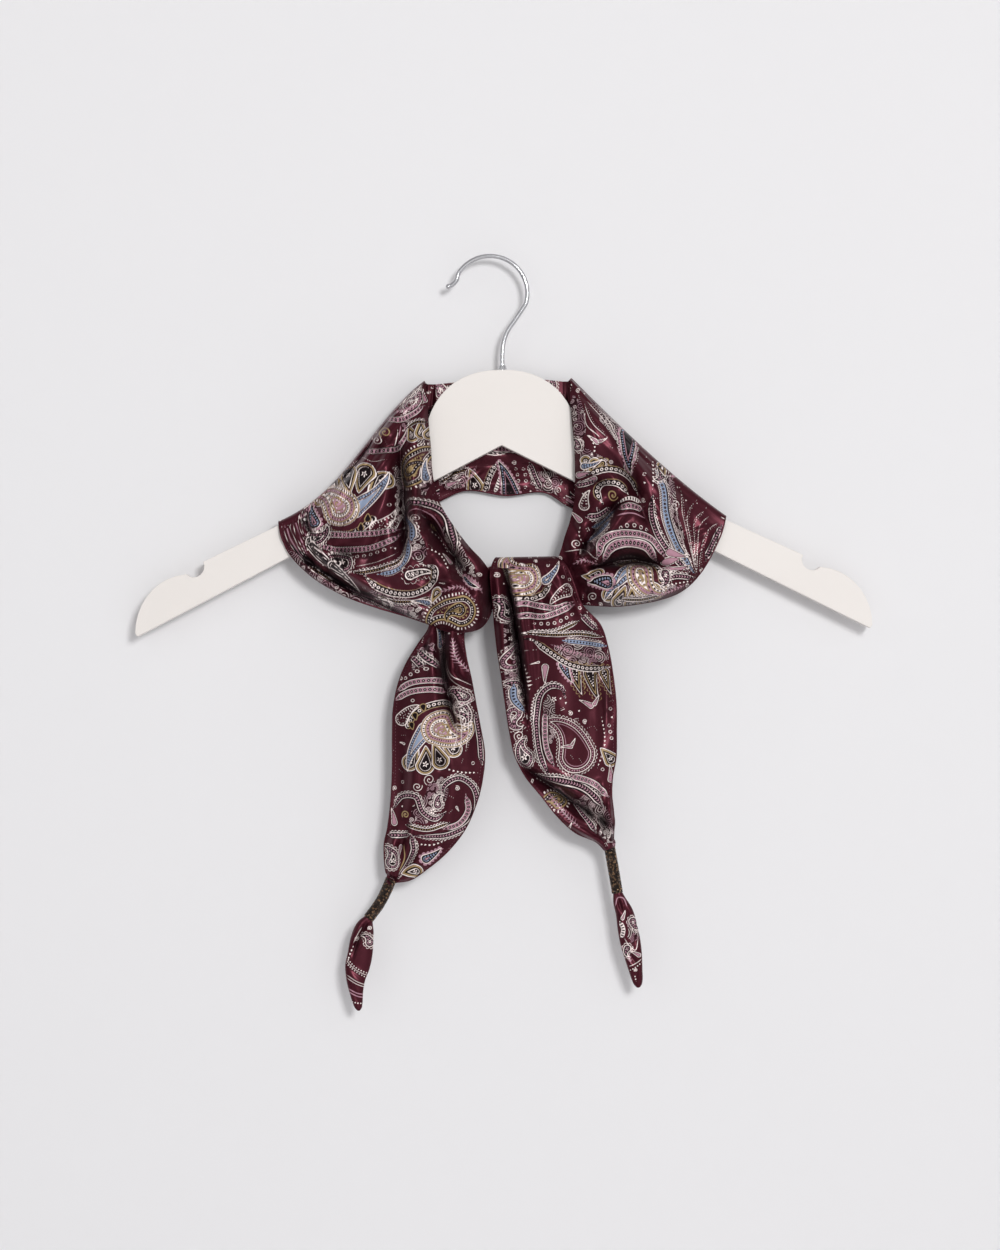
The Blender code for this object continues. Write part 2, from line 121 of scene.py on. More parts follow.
stageLook = {
    "camera": (0.006, -1.9, -0.22),
    "seenHeight": 0.75,  # metres of wall from the frame's top to its bottom
    "wallDepth": 0.0135,
    "floorHeight": -1.05,
    "wallColour": (0.83, 0.82, 0.83, 1),
    "keyTurn": 15,  # degrees to the right of the wall's normal
    "keyRise": 13,
    "keyDistance": 3.2,
    "keySize": 0.60,
    "keyPower": 46.5,
    "fillPower": 3,
    "worldWay": (0.36, -0.90, 0.24),  # the side of the room that the daylight comes from
    "worldLight": (0.04, 0.67),  # its strength from the far side of the room, and from the near one
}


def makeStage():
    look = stageLook
    scene = bpy.context.scene
    scene.view_settings.view_transform = "Standard"
    lens = bpy.data.cameras.new("camera")
    lens.sensor_width = 36
    lens.lens = lens.sensor_width * -look["camera"][1] / look["seenHeight"]
    camera = bpy.data.objects.new("camera", lens)
    camera.location = look["camera"]
    camera.rotation_euler = (pi / 2, 0, 0)
    scene.collection.objects.link(camera)
    scene.camera = camera

    middle = Vector((0, 0, look["camera"][2]))
    turn, rise = radians(look["keyTurn"]), radians(look["keyRise"])
    towards = Vector((sin(turn) * cos(rise), -cos(turn) * cos(rise), sin(rise)))
    lamps = (
        ("key", towards, look["keyDistance"], look["keySize"], look["keyPower"]),
        ("fill", Vector((-0.75, -0.6, 0.25)), 1.8, 1.6, look["fillPower"]),
    )
    for name, way, distance, size, power in lamps:
        light = bpy.data.lights.new(name, "AREA")
        light.size = size
        light.energy = power
        lamp = bpy.data.objects.new(name, light)
        lamp.location = middle + way.normalized() * distance
        lamp.rotation_euler = way.to_track_quat("Z", "Y").to_euler()
        scene.collection.objects.link(lamp)

    world = bpy.data.worlds.new("room")
    world.use_nodes = True
    world.node_tree.nodes["Background"].inputs["Color"].default_value = (1.0, 0.99, 1.0, 1)
    sky = world.node_tree
    way = addNode(sky, "ShaderNodeTexCoord").outputs["Generated"]
    facing = addNode(sky, "ShaderNodeVectorMath", {0: way, 1: look["worldWay"]}, operation="DOT_PRODUCT")
    low, high = look["worldLight"]
    strength = addNode(sky, "ShaderNodeMapRange", {0: facing.outputs["Value"], 1: -0.1, 2: 1.0, 3: low, 4: high})
    sky.links.new(strength.outputs[0], sky.nodes["Background"].inputs["Strength"])
    scene.world = world

    # The wall is seen from its front only, so that the back of the object can be looked at
    plaster, tree, shader = newMaterial("pale_wall", Roughness=0.9)
    grain = addNode(tree, "ShaderNodeTexNoise", {"Scale": 3.0, "Detail": 2.0})
    tint = mixColours(tree, grain.outputs[0], look["wallColour"], (0.80, 0.80, 0.81, 1))
    tree.links.new(tint, shader.inputs["Base Color"])
    facing = addNode(tree, "ShaderNodeNewGeometry").outputs["Backfacing"]
    clear = addNode(tree, "ShaderNodeBsdfTransparent")
    shown = addNode(tree, "ShaderNodeMixShader", {0: facing, 1: shader.outputs[0], 2: clear.outputs[0]})
    tree.links.new(shown.outputs[0], tree.nodes["Material Output"].inputs["Surface"])
    wide, depth, low = 2500, look["wallDepth"] / mm, look["floorHeight"] / mm
    wall = meshOf("wall", [(-wide, depth, low), (wide, depth, low), (wide, depth, 900), (-wide, depth, 900)],
                  [(0, 1, 2, 3)])
    floor = meshOf("floor", [(-wide, -wide, low), (wide, -wide, low), (wide, wide, low), (-wide, wide, low)],
                   [(0, 1, 2, 3)])
    for name, mesh in (("wall", wall), ("floor", floor)):
        mesh.materials.append(plaster)
        sheet = bpy.data.objects.new(name, mesh)
        scene.collection.objects.link(sheet)


makeStage()
print("stage, camera and lights are in place")



satinLook = {
    "ground": (0.082, 0.012, 0.022, 1),
    "groundDeep": (0.052, 0.007, 0.013, 1),
    "inks": {
        "cream": (0.96, 0.85, 0.81, 1),
        "pink": (0.45, 0.24, 0.30, 1),
        "gold": (0.37, 0.26, 0.12, 1),
        "blue": (0.27, 0.33, 0.46, 1),
        "dark": (0.010, 0.004, 0.006, 1),
    },
    "groundMetal": 0.58,  # the share of the light that plain satin sends back in its own colour
    "inkSoftness": 0.14,  # millimetres over which an ink fades at its edge
    "inkShrink": 0.05,  # how far the cream lines draw in from their drawn edges
    "laceCells": 6.4,  # millimetres between the middles of the fine lace's shells
    "laceLines": 1.25,
    "laceBeads": 2.7,
    "laceShare": 0.66,
    "laceGround": (0.016, 0.004, 0.007, 1),  # between the lace's lines
    # painted shade for the cloth's hollows: its near-black colour and its largest share
    "paintedShadeColour": (0.005, 0.0015, 0.0025, 1),
    "paintedShadeShare": 0.80,
    "weavePitch": 0.42,
    "weaveDepth": 0.018,
    "roughness": 0.34,
    "printedRoughness": 0.46,
}
inkColours = tuple(satinLook["inks"])
inkNames = (*inkColours, "lace")


def finePattern(tree):
    # The finest part of the print: shells of thin lines with small ringed beads between them
    look = satinLook
    plan = addNode(tree, "ShaderNodeUVMap", uv_map="clothPlan").outputs[0]
    shells = addNode(tree, "ShaderNodeTexVoronoi", {"Vector": plan, "Scale": 1 / look["laceCells"] / mm},
                     voronoi_dimensions="2D")
    beads = addNode(tree, "ShaderNodeTexVoronoi", {"Vector": plan, "Scale": 1 / look["laceBeads"] / mm},
                    voronoi_dimensions="2D")
    phase = addMath(tree, "MULTIPLY", shells.outputs["Distance"], look["laceCells"] / look["laceLines"])
    line = addMath(tree, "PINGPONG", phase, 0.5)
    ring = addMath(tree, "ABSOLUTE", addMath(tree, "SUBTRACT", beads.outputs["Distance"], 0.34))
    parts = [
        addNode(tree, "ShaderNodeMapRange", {0: field, 1: near, 2: far, 3: 1.0, 4: 0.0}).outputs[0]
        for field, near, far in ((line, 0.10, 0.24), (ring, 0.05, 0.14), (beads.outputs["Distance"], 0.10, 0.18))
    ]
    beadParts = addMath(tree, "MAXIMUM", parts[1], parts[2])
    tone = addNode(tree, "ShaderNodeSeparateColor", {0: shells.outputs["Color"]})
    either = addNode(tree, "ShaderNodeMapRange", {0: tone.outputs[0], 1: 0.55, 2: 0.60})
    cover = addNode(tree, "ShaderNodeMix", {0: either.outputs[0], 2: parts[0], 3: beadParts}).outputs[0]
    return cover, mixColours(tree, tone.outputs[1], look["inks"]["pink"], look["inks"]["cream"])


def makeSatin(name, printed):
    look = satinLook
    satin, tree, shader = newMaterial(
        name, Sheen_Weight=0.05, Sheen_Roughness=0.35, Specular_IOR_Level=0.28,
        Sheen_Tint=(0.9, 0.6, 0.68, 1), Metallic=look["groundMetal"],
    )
    place = addNode(tree, "ShaderNodeTexCoord").outputs["Object"]
    cloud = addNode(tree, "ShaderNodeTexNoise", {"Vector": place, "Scale": 26.0, "Detail": 3.0})
    colour = mixColours(tree, cloud.outputs[0], look["ground"], look["groundDeep"])
    if printed:
        shares = {}
        for attribute, names in (("inkLines", inkNames[:3]), ("inkFills", inkNames[3:])):
            read = addNode(tree, "ShaderNodeAttribute", attribute_name=attribute)
            parts = addNode(tree, "ShaderNodeSeparateXYZ", {0: read.outputs["Vector"]})
            for channel, ink in enumerate(names):
                edge = look["inkSoftness"]
                back = look["inkShrink"] if ink == "cream" else 0.0
                shares[ink] = addNode(
                    tree, "ShaderNodeMapRange",
                    {0: parts.outputs[channel], 1: back - edge, 2: back + edge, 3: 0.0, 4: 1.0},
                    interpolation_type="SMOOTHSTEP",
                ).outputs[0]
        cover, laceColour = finePattern(tree)
        laced = addMath(tree, "MULTIPLY", addMath(tree, "MULTIPLY", cover, shares["lace"]), look["laceShare"])
        behind = addMath(tree, "MULTIPLY", shares["lace"], 0.65)
        colour = mixColours(tree, laced, mixColours(tree, behind, colour, look["laceGround"]), laceColour)
        for ink in ("dark", "blue", "gold", "pink", "cream"):
            colour = mixColours(tree, shares[ink], colour, look["inks"][ink])
        printShare = laced
        for ink in ("blue", "gold", "pink", "cream"):
            printShare = addMath(tree, "MAXIMUM", printShare, shares[ink])
        rough = addNode(tree, "ShaderNodeMapRange",
                        {0: printShare, 3: look["roughness"], 4: look["printedRoughness"]})
        tree.links.new(rough.outputs[0], shader.inputs["Roughness"])
        metal = addNode(tree, "ShaderNodeMapRange", {0: printShare, 3: look["groundMetal"], 4: 0.0})
        tree.links.new(metal.outputs[0], shader.inputs["Metallic"])
    else:
        shader.inputs["Roughness"].default_value = look["roughness"]
    # Painted shade: the base colour goes towards near-black where the cloth lies in a hollow of its folds
    hollowShade = addNode(tree, "ShaderNodeAttribute", attribute_name="hollowShade").outputs["Fac"]
    shade = addMath(tree, "MULTIPLY", hollowShade, look["paintedShadeShare"])
    colour = mixColours(tree, shade, colour, look["paintedShadeColour"])
    tree.links.new(colour, shader.inputs["Base Color"])
    # A fine twill and a few thicker threads
    pitch = look["weavePitch"] * mm
    twill = addNode(tree, "ShaderNodeTexWave",
                    {"Vector": place, "Scale": 1 / pitch / 6.28, "Distortion": 0.6, "Detail": 1.0},
                    bands_direction="DIAGONAL")
    slub = addNode(tree, "ShaderNodeTexNoise", {"Vector": place, "Scale": 420.0, "Detail": 2.0})
    height = addMath(tree, "ADD", twill.outputs["Fac"], slub.outputs[0])
    bump = addNode(tree, "ShaderNodeBump",
                   {"Height": height, "Strength": 0.35, "Distance": look["weaveDepth"] * mm})
    tree.links.new(bump.outputs[0], shader.inputs["Normal"])
    return satin


def makePaintedWood():
    # Off-white enamel over wood: brush marks along the arms, and a little yellowing in patches
    paint, tree, shader = newMaterial("white_enamel", Specular_IOR_Level=0.4, Coat_Weight=0.15)
    place = addNode(tree, "ShaderNodeTexCoord").outputs["Object"]
    patches = addNode(tree, "ShaderNodeTexNoise", {"Vector": place, "Scale": 9.0, "Detail": 2.0})
    warm = mixColours(tree, patches.outputs[0], (0.84, 0.80, 0.765, 1), (0.80, 0.755, 0.715, 1))
    tree.links.new(warm, shader.inputs["Base Color"])
    stretched = addNode(tree, "ShaderNodeMapping", {"Vector": place, "Scale": (14, 300, 300)})
    brush = addNode(tree, "ShaderNodeTexNoise", {"Vector": stretched.outputs[0], "Scale": 1.0, "Detail": 4.0})
    rough = addNode(tree, "ShaderNodeMapRange", {0: brush.outputs[0], 3: 0.42, 4: 0.58})
    tree.links.new(rough.outputs[0], shader.inputs["Roughness"])
    bump = addNode(tree, "ShaderNodeBump",
                   {"Height": brush.outputs[0], "Strength": 0.25, "Distance": 0.00012})
    tree.links.new(bump.outputs[0], shader.inputs["Normal"])
    return paint


def makeChrome():
    chrome, tree, shader = newMaterial("polished_wire", Base_Color=(0.60, 0.60, 0.62, 1), Metallic=1.0)
    place = addNode(tree, "ShaderNodeTexCoord").outputs["Object"]
    rubs = addNode(tree, "ShaderNodeTexNoise", {"Vector": place, "Scale": 260.0, "Detail": 4.0})
    rough = addNode(tree, "ShaderNodeMapRange", {0: rubs.outputs[0], 3: 0.10, 4: 0.26})
    tree.links.new(rough.outputs[0], shader.inputs["Roughness"])
    return chrome


def makeBeadGlass():
    # Faceted glass seed beads: bronze-black, with a few that are lined with gold
    glass, tree, shader = newMaterial("bronze_glass", Specular_IOR_Level=0.5, Coat_Weight=0.25)
    tone = addNode(tree, "ShaderNodeAttribute", attribute_name="beadTone").outputs["Fac"]
    golden = addNode(tree, "ShaderNodeMapRange", {0: tone, 1: 0.74, 2: 1.0})
    brown = mixColours(tree, tone, (0.016, 0.010, 0.008, 1), (0.060, 0.036, 0.024, 1))
    colour = mixColours(tree, golden.outputs[0], brown, (0.29, 0.175, 0.10, 1))
    metal = addNode(tree, "ShaderNodeMapRange", {0: golden.outputs[0], 3: 0.6, 4: 0.95})
    rough = addNode(tree, "ShaderNodeMapRange", {0: tone, 3: 0.14, 4: 0.30})
    tree.links.new(colour, shader.inputs["Base Color"])
    tree.links.new(metal.outputs[0], shader.inputs["Metallic"])
    tree.links.new(rough.outputs[0], shader.inputs["Roughness"])
    return glass


def makeThread():
    thread, tree, shader = newMaterial("sewing_thread", Roughness=0.55, Sheen_Weight=0.3)
    place = addNode(tree, "ShaderNodeTexCoord").outputs["Object"]
    ply = addNode(tree, "ShaderNodeTexWave", {"Vector": place, "Scale": 900.0, "Distortion": 2.0})
    colour = mixColours(tree, ply.outputs["Fac"], (0.10, 0.02, 0.035, 1), (0.17, 0.05, 0.07, 1))
    tree.links.new(colour, shader.inputs["Base Color"])
    return thread


printedSatin = makeSatin("printed_satin", True)
plainSatin = makeSatin("plain_satin", False)
sewingThread = makeThread()
print("finishes are made")



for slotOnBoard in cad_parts["hanger_board"].material_slots:
    slotOnBoard.material = makePaintedWood()

hook = {
    "wireRadius": 1.4,
    "bendRadius": 22.4,  # to the wire's middle
    "bendMiddle": (0, -21.0),
    "arc": (148, -14),  # degrees, from the open side over the top
    "lip": ((-24.9, -16.9), (-22.6, -15.8), (-20.2, -13.4)),
    "stem": ((18.8, -31.4), (14.8, -37.4), (10.6, -43.6), (8.2, -50.0), (7.4, -57.0), (7.5, -67.0)),
    "lipBall": 1.75,
    "collarRadius": 2.6,
    "collarHeight": 2.2,
}


def makeHook():
    middle = np.array(hook["bendMiddle"])
    arc = [
        middle + hook["bendRadius"] * np.array((cos(radians(a)), sin(radians(a))))
        for a in np.linspace(*hook["arc"], 28)
    ]
    line = smoothPath([*hook["lip"], *arc, *hook["stem"]], 1.2)
    curve = bpy.data.curves.new("hook", "CURVE")
    curve.dimensions = "3D"
    curve.bevel_depth = hook["wireRadius"] * mm
    curve.bevel_resolution = 6
    curve.use_fill_caps = True
    spline = curve.splines.new("POLY")
    spline.points.add(len(line) - 1)
    for point, (x, z) in zip(spline.points, line):
        point.co = (x * mm, 0, z * mm, 1)
    wire = bpy.data.objects.new("hook", curve)
    bpy.context.scene.collection.objects.link(wire)
    mesh = bakeDown(wire)
    whole = bmesh.new()
    whole.from_mesh(mesh)
    ball = Matrix.Translation(Vector((line[0][0], 0, line[0][1])) * mm)
    bmesh.ops.create_uvsphere(whole, u_segments=20, v_segments=12, radius=hook["lipBall"] * mm, matrix=ball)
    foot = Matrix.Translation(Vector((line[-1][0], 0, line[-1][1] + hook["collarHeight"] / 2 + 0.4)) * mm)
    bmesh.ops.create_cone(whole, cap_ends=True, segments=28, radius1=hook["collarRadius"] * mm,
                          radius2=hook["collarRadius"] * 0.8 * mm, depth=hook["collarHeight"] * mm, matrix=foot)
    whole.to_mesh(mesh)
    whole.free()
    mesh.shade_smooth()
    mesh.set_sharp_from_angle(angle=radians(45))
    addPiece("wire_hook", mesh, makeChrome(), ["hanger_hook"])


makeHook()
print("hanger is finished")


# Drawing on cloth. A print is a set of distances in millimetres, one field for each ink: above
# zero the ink is there. Places are (x, z) on the cloth as it lies before it is creased.

def besidePath(places, path):
    # For each place: its distance from the path, more than zero on the left, and how far along it is
    starts, ways = path[:-1], np.diff(path, axis=0)
    lengths = np.linalg.norm(ways, axis=1) + 1e-9
    best = np.full(len(places), 1e9)
    side = np.ones(len(places))
    along = np.zeros(len(places))
    travelled = 0.0
    for start, way, length in zip(starts, ways, lengths):
        unit = way / length
        offset = places - start
        ahead = np.clip(offset @ unit, 0, length)
        distance = np.hypot(*(offset - ahead[:, None] * unit).T)
        nearer = distance < best
        best = np.where(nearer, distance, best)
        cross = unit[0] * offset[:, 1] - unit[1] * offset[:, 0]
        side = np.where(nearer, np.where(cross < 0, -1.0, 1.0), side)
        along = np.where(nearer, travelled + ahead, along)
        travelled += length
    return best * side, along, travelled


def insideOf(places, outline):
    x, z = places.T
    inside = np.zeros(len(places), bool)
    for (x0, z0), (x1, z1) in zip(outline, np.roll(outline, -1, axis=0)):
        if z0 == z1:
            continue
        crosses = (z0 > z) != (z1 > z)
        inside ^= crosses & (x < (x1 - x0) * (z - z0) / (z1 - z0) + x0)
    return inside


def newPrint(places):
    return {"places": places, "inks": {ink: np.full(len(places), -20.0) for ink in inkNames}}


def writePrint(mesh, cloth):
    # Keeps the print on the mesh as two attributes that the satin reads
    for attribute, names in (("inkLines", inkNames[:3]), ("inkFills", inkNames[3:])):
        fields = [cloth["inks"][name] for name in names]
        layer = mesh.attributes.new(attribute, "FLOAT_VECTOR", "POINT")
        layer.data.foreach_set("vector", np.stack(fields, axis=1).astype(np.float32).ravel())


def layInk(cloth, chosen, colour, cover):
    # Lays one ink over the others; "ground" takes them all off again
    for ink, field in cloth["inks"].items():
        if ink == colour:
            field[chosen] = np.maximum(field[chosen], cover)
        elif colour != "lace":
            field[chosen] = np.minimum(field[chosen], -cover)


def layCourses(cloth, chosen, beside, along, courses):
    # Each course follows an outline or a line: shape, ink, offset from it, size and repeat
    for shape, colour, offset, size, repeat in courses:
        gap = beside - offset
        beat = np.mod(along, repeat) - repeat / 2 if repeat else 0.0
        if shape == "fill":
            cover = -gap
        elif shape == "line":
            cover = size / 2 - np.abs(gap)
        elif shape == "dots":
            cover = size / 2 - np.hypot(gap, beat)
        elif shape == "rings":
            cover = 0.24 - np.abs(np.hypot(gap, beat) - size / 2)
        elif shape == "ticks":
            cover = np.minimum(repeat * 0.2 - np.abs(beat), size / 2 - np.abs(gap))
        elif shape == "leaves":
            lean = np.mod(along + np.abs(gap) * 0.9, repeat) - repeat / 2
            cover = np.minimum(repeat * 0.26 * (1.15 - np.abs(gap) / size * 2) - np.abs(lean),
                               size / 2 - np.abs(gap))
        else:
            lobe = size * np.abs(np.sin(pi * along / repeat)) ** 0.7
            cover = np.minimum(lobe - gap, gap + 1.4) if shape == "lobes" else 0.25 - np.abs(gap - lobe)
        layInk(cloth, chosen, colour, cover)


def paisleyOutline(size, hook, fat):
    # A drop with its round foot at (0, 0) and its tip above, curled over to the left
    t = np.linspace(0, 1, 22)
    heading = pi / 2 + radians(hook) * t**1.7
    way = np.stack((np.cos(heading), np.sin(heading)), axis=1)
    spine = np.vstack(((0, 0), np.cumsum(way * size / 21, axis=0)[:-1]))
    half = (fat * size * (1 - t) ** 0.8)[:, None]
    left = np.stack((-way[:, 1], way[:, 0]), axis=1) * half
    foot = np.linspace(pi, 2 * pi, 12)[1:-1]
    cap = fat * size * np.stack((np.cos(foot), np.sin(foot)), axis=1)
    return np.vstack(((spine + left)[::-1], cap, (spine - left)[:-1]))


def spiralPath(size, turns):
    angle = np.linspace(0, turns * 2 * pi, int(14 * turns) + 6)
    out = size * (angle / angle[-1]) ** 0.8
    return np.stack((np.cos(angle) * out, np.sin(angle) * out), axis=1)


motifBook = {
    "goldPaisley": {
        "hook": 105, "fat": 0.34,
        "courses": (
            ("ticks", "cream", 1.7, 1.5, 1.8), ("fill", "dark", 0.5, 0, 0), ("line", "gold", 0, 0.85, 0),
            ("dots", "cream", -1.4, 0.85, 1.7), ("line", "cream", -2.5, 0.5, 0), ("fill", "ground", -2.8, 0, 0),
            ("leaves", "gold", -4.2, 1.5, 1.6),
        ),
        "parts": (("heart", 0.02, 0.05, 0.46, 15, False),),
    },
    "heart": {
        "hook": 120, "fat": 0.36,
        "courses": (("fill", "dark", 0.4, 0, 0), ("line", "gold", 0, 0.65, 0), ("dots", "cream", -1.3, 0.75, 1.5),
                    ("line", "gold", -2.4, 0.5, 0)),
        "parts": (("goldCurl", 0.0, 0.06, 0.15, 0, False),),
    },
    "lacePaisley": {
        "hook": 170, "fat": 0.32,
        "courses": (
            ("scallops", "cream", 0.5, 1.4, 2.2), ("fill", "dark", 0.3, 0, 0), ("line", "cream", 0, 0.6, 0),
            ("line", "pink", -1.4, 1.3, 0), ("dots", "dark", -1.4, 1.0, 1.7), ("line", "cream", -2.7, 0.5, 0),
            ("fill", "ground", -3.0, 0, 0), ("leaves", "pink", -4.3, 1.6, 1.7),
        ),
        "parts": (("curl", 0.0, 0.12, 0.15, 0, False),),
    },
    "nightPaisley": {  # an outline of lace about a dark heart
        "hook": 100, "fat": 0.35,
        "courses": (
            ("scallops", "cream", 0.4, 1.2, 2.0), ("fill", "ground", 0.3, 0, 0), ("line", "cream", 0, 0.55, 0),
            ("dots", "pink", -1.1, 0.9, 1.6), ("line", "cream", -2.2, 0.55, 0), ("line", "pink", -3.6, 0.45, 0),
        ),
        "parts": (),
    },
    "smallLace": {
        "hook": 120, "fat": 0.34,
        "courses": (
            ("scallops", "cream", 0.4, 1.0, 1.8), ("fill", "dark", 0.2, 0, 0), ("line", "cream", 0, 0.55, 0),
            ("dots", "pink", -1.2, 0.9, 1.5), ("line", "cream", -2.2, 0.45, 0),
        ),
        "parts": (("floret", 0.0, 0.08, 0.14, 0, False),),
    },
    "creamSpiral": {
        "hook": 150, "fat": 0.40,
        "courses": (
            ("fill", "cream", 0, 0, 0), ("line", "gold", -0.7, 0.6, 0), ("dots", "dark", -1.8, 0.9, 1.5),
            ("line", "gold", -2.8, 0.7, 0), ("fill", "pink", -3.2, 0, 0), ("dots", "dark", -4.1, 0.85, 1.5),
            ("line", "gold", -5.1, 0.6, 0), ("fill", "cream", -5.4, 0, 0), ("dots", "dark", -6.4, 0.9, 1.6),
            ("line", "gold", -7.4, 0.5, 0), ("fill", "pink", -7.8, 0, 0), ("dots", "cream", -8.7, 0.9, 1.5),
        ),
        "parts": (("goldCurl", 0.02, 0.10, 0.17, 60, False),),
    },
    "eyeLobe": {
        "hook": 10, "fat": 0.46,
        "courses": (
            ("fill", "dark", 0.9, 0, 0), ("line", "cream", 0.2, 0.6, 0), ("fill", "gold", -0.2, 0, 0),
            ("fill", "dark", -1.0, 0, 0), ("line", "cream", -1.9, 0.45, 0),
        ),
        "parts": (("floret", 0.0, 0.05, 0.17, 0, False),),
    },
    "hornLeaf": {
        "hook": 62, "fat": 0.21,
        "courses": (
            ("scallops", "cream", 1.0, 1.6, 2.6), ("line", "dark", 0.6, 0.6, 0), ("fill", "cream", 0.2, 0, 0),
            ("fill", "dark", -0.5, 0, 0), ("dots", "cream", -1.8, 1.7, 2.4), ("dots", "dark", -1.8, 0.8, 2.4),
            ("line", "cream", -3.1, 0.6, 0), ("line", "gold", -3.9, 0.5, 0), ("leaves", "gold", -5.9, 2.2, 1.9),
        ),
        "parts": (),
    },
    "spear": {
        "hook": 38, "fat": 0.17,
        "courses": (
            ("fill", "cream", 0.4, 0, 0), ("fill", "dark", -0.2, 0, 0), ("line", "blue", -1.0, 1.1, 0),
            ("dots", "dark", -1.0, 0.8, 1.6), ("line", "cream", -2.1, 0.45, 0), ("fill", "blue", -2.4, 0, 0),
        ),
        "parts": (),
    },
    "dropLeaf": {
        "hook": 45, "fat": 0.30,
        "courses": (("line", "cream", 0, 0.6, 0), ("ticks", "cream", -1.2, 1.1, 1.6), ("dots", "cream", -3.0, 0.7, 1.9)),
        "parts": (),
    },
    "flameLeaf": {
        "hook": 20, "fat": 0.24,
        "courses": (("lobes", "pink", 0.2, 1.3, 2.3), ("fill", "dark", 0, 0, 0), ("line", "cream", 0, 0.5, 0),
                    ("dots", "blue", -1.3, 0.9, 1.6), ("line", "pink", -2.3, 0.5, 0)),
        "parts": (),
    },
    "goldFlame": {
        "hook": 14, "fat": 0.26,
        "courses": (("scallops", "gold", 0.2, 1.6, 2.6), ("fill", "dark", 0, 0, 0), ("line", "cream", -0.2, 0.5, 0),
                    ("line", "gold", -1.4, 0.5, 0), ("leaves", "cream", -2.6, 1.2, 1.7)),
        "parts": (),
    },
    "longLeaf": {
        "hook": 24, "fat": 0.12,
        "courses": (("fill", "dark", 0.9, 0, 0), ("line", "cream", 0, 0.75, 0), ("line", "cream", -1.5, 0.55, 0),
                    ("dots", "cream", -3.1, 1.0, 2.2)),
        "parts": (),
    },
    "petal": {
        "hook": 12, "fat": 0.19,
        "courses": (("fill", "dark", 0.4, 0, 0), ("line", "cream", 0, 0.5, 0), ("fill", "pink", -0.5, 0, 0)),
        "parts": (),
    },
    "disc": {
        "hook": 0, "fat": 0.5,
        "courses": (("fill", "gold", 0.4, 0, 0), ("fill", "dark", -0.1, 0, 0)),
        "parts": (),
    },
    "palmette": {  # a cream spiral with a row of eyed lobes over it, a blue spear beside it and lace below
        "parts": (
            ("crescent", 0.0, 0.0, 1.0, 0, False),
            ("eyeLobe", -0.31, 0.11, 0.27, -106, False), ("eyeLobe", 0.50, 0.33, 0.26, 136, False),
            ("eyeLobe", -0.16, 0.31, 0.27, -141, False), ("eyeLobe", 0.30, 0.43, 0.28, 160, False),
            ("eyeLobe", 0.07, 0.43, 0.28, -176, False),
            ("spear", 0.16, -0.06, 0.66, -52, False),
            ("creamSpiral", -0.03, -0.03, 0.66, 40, False),
            ("smallLace", -0.47, -0.20, 0.26, 30, True),
            ("disc", 0.33, -0.19, 0.07, 0, False), ("disc", 0.25, -0.31, 0.07, 0, False),
            ("disc", 0.12, -0.40, 0.07, 0, False),
        ),
    },
    "bird": {"parts": (("petal", 0, 0, 1.0, 60, False), ("petal", 0.2, 0.1, 0.7, -60, False))},
}

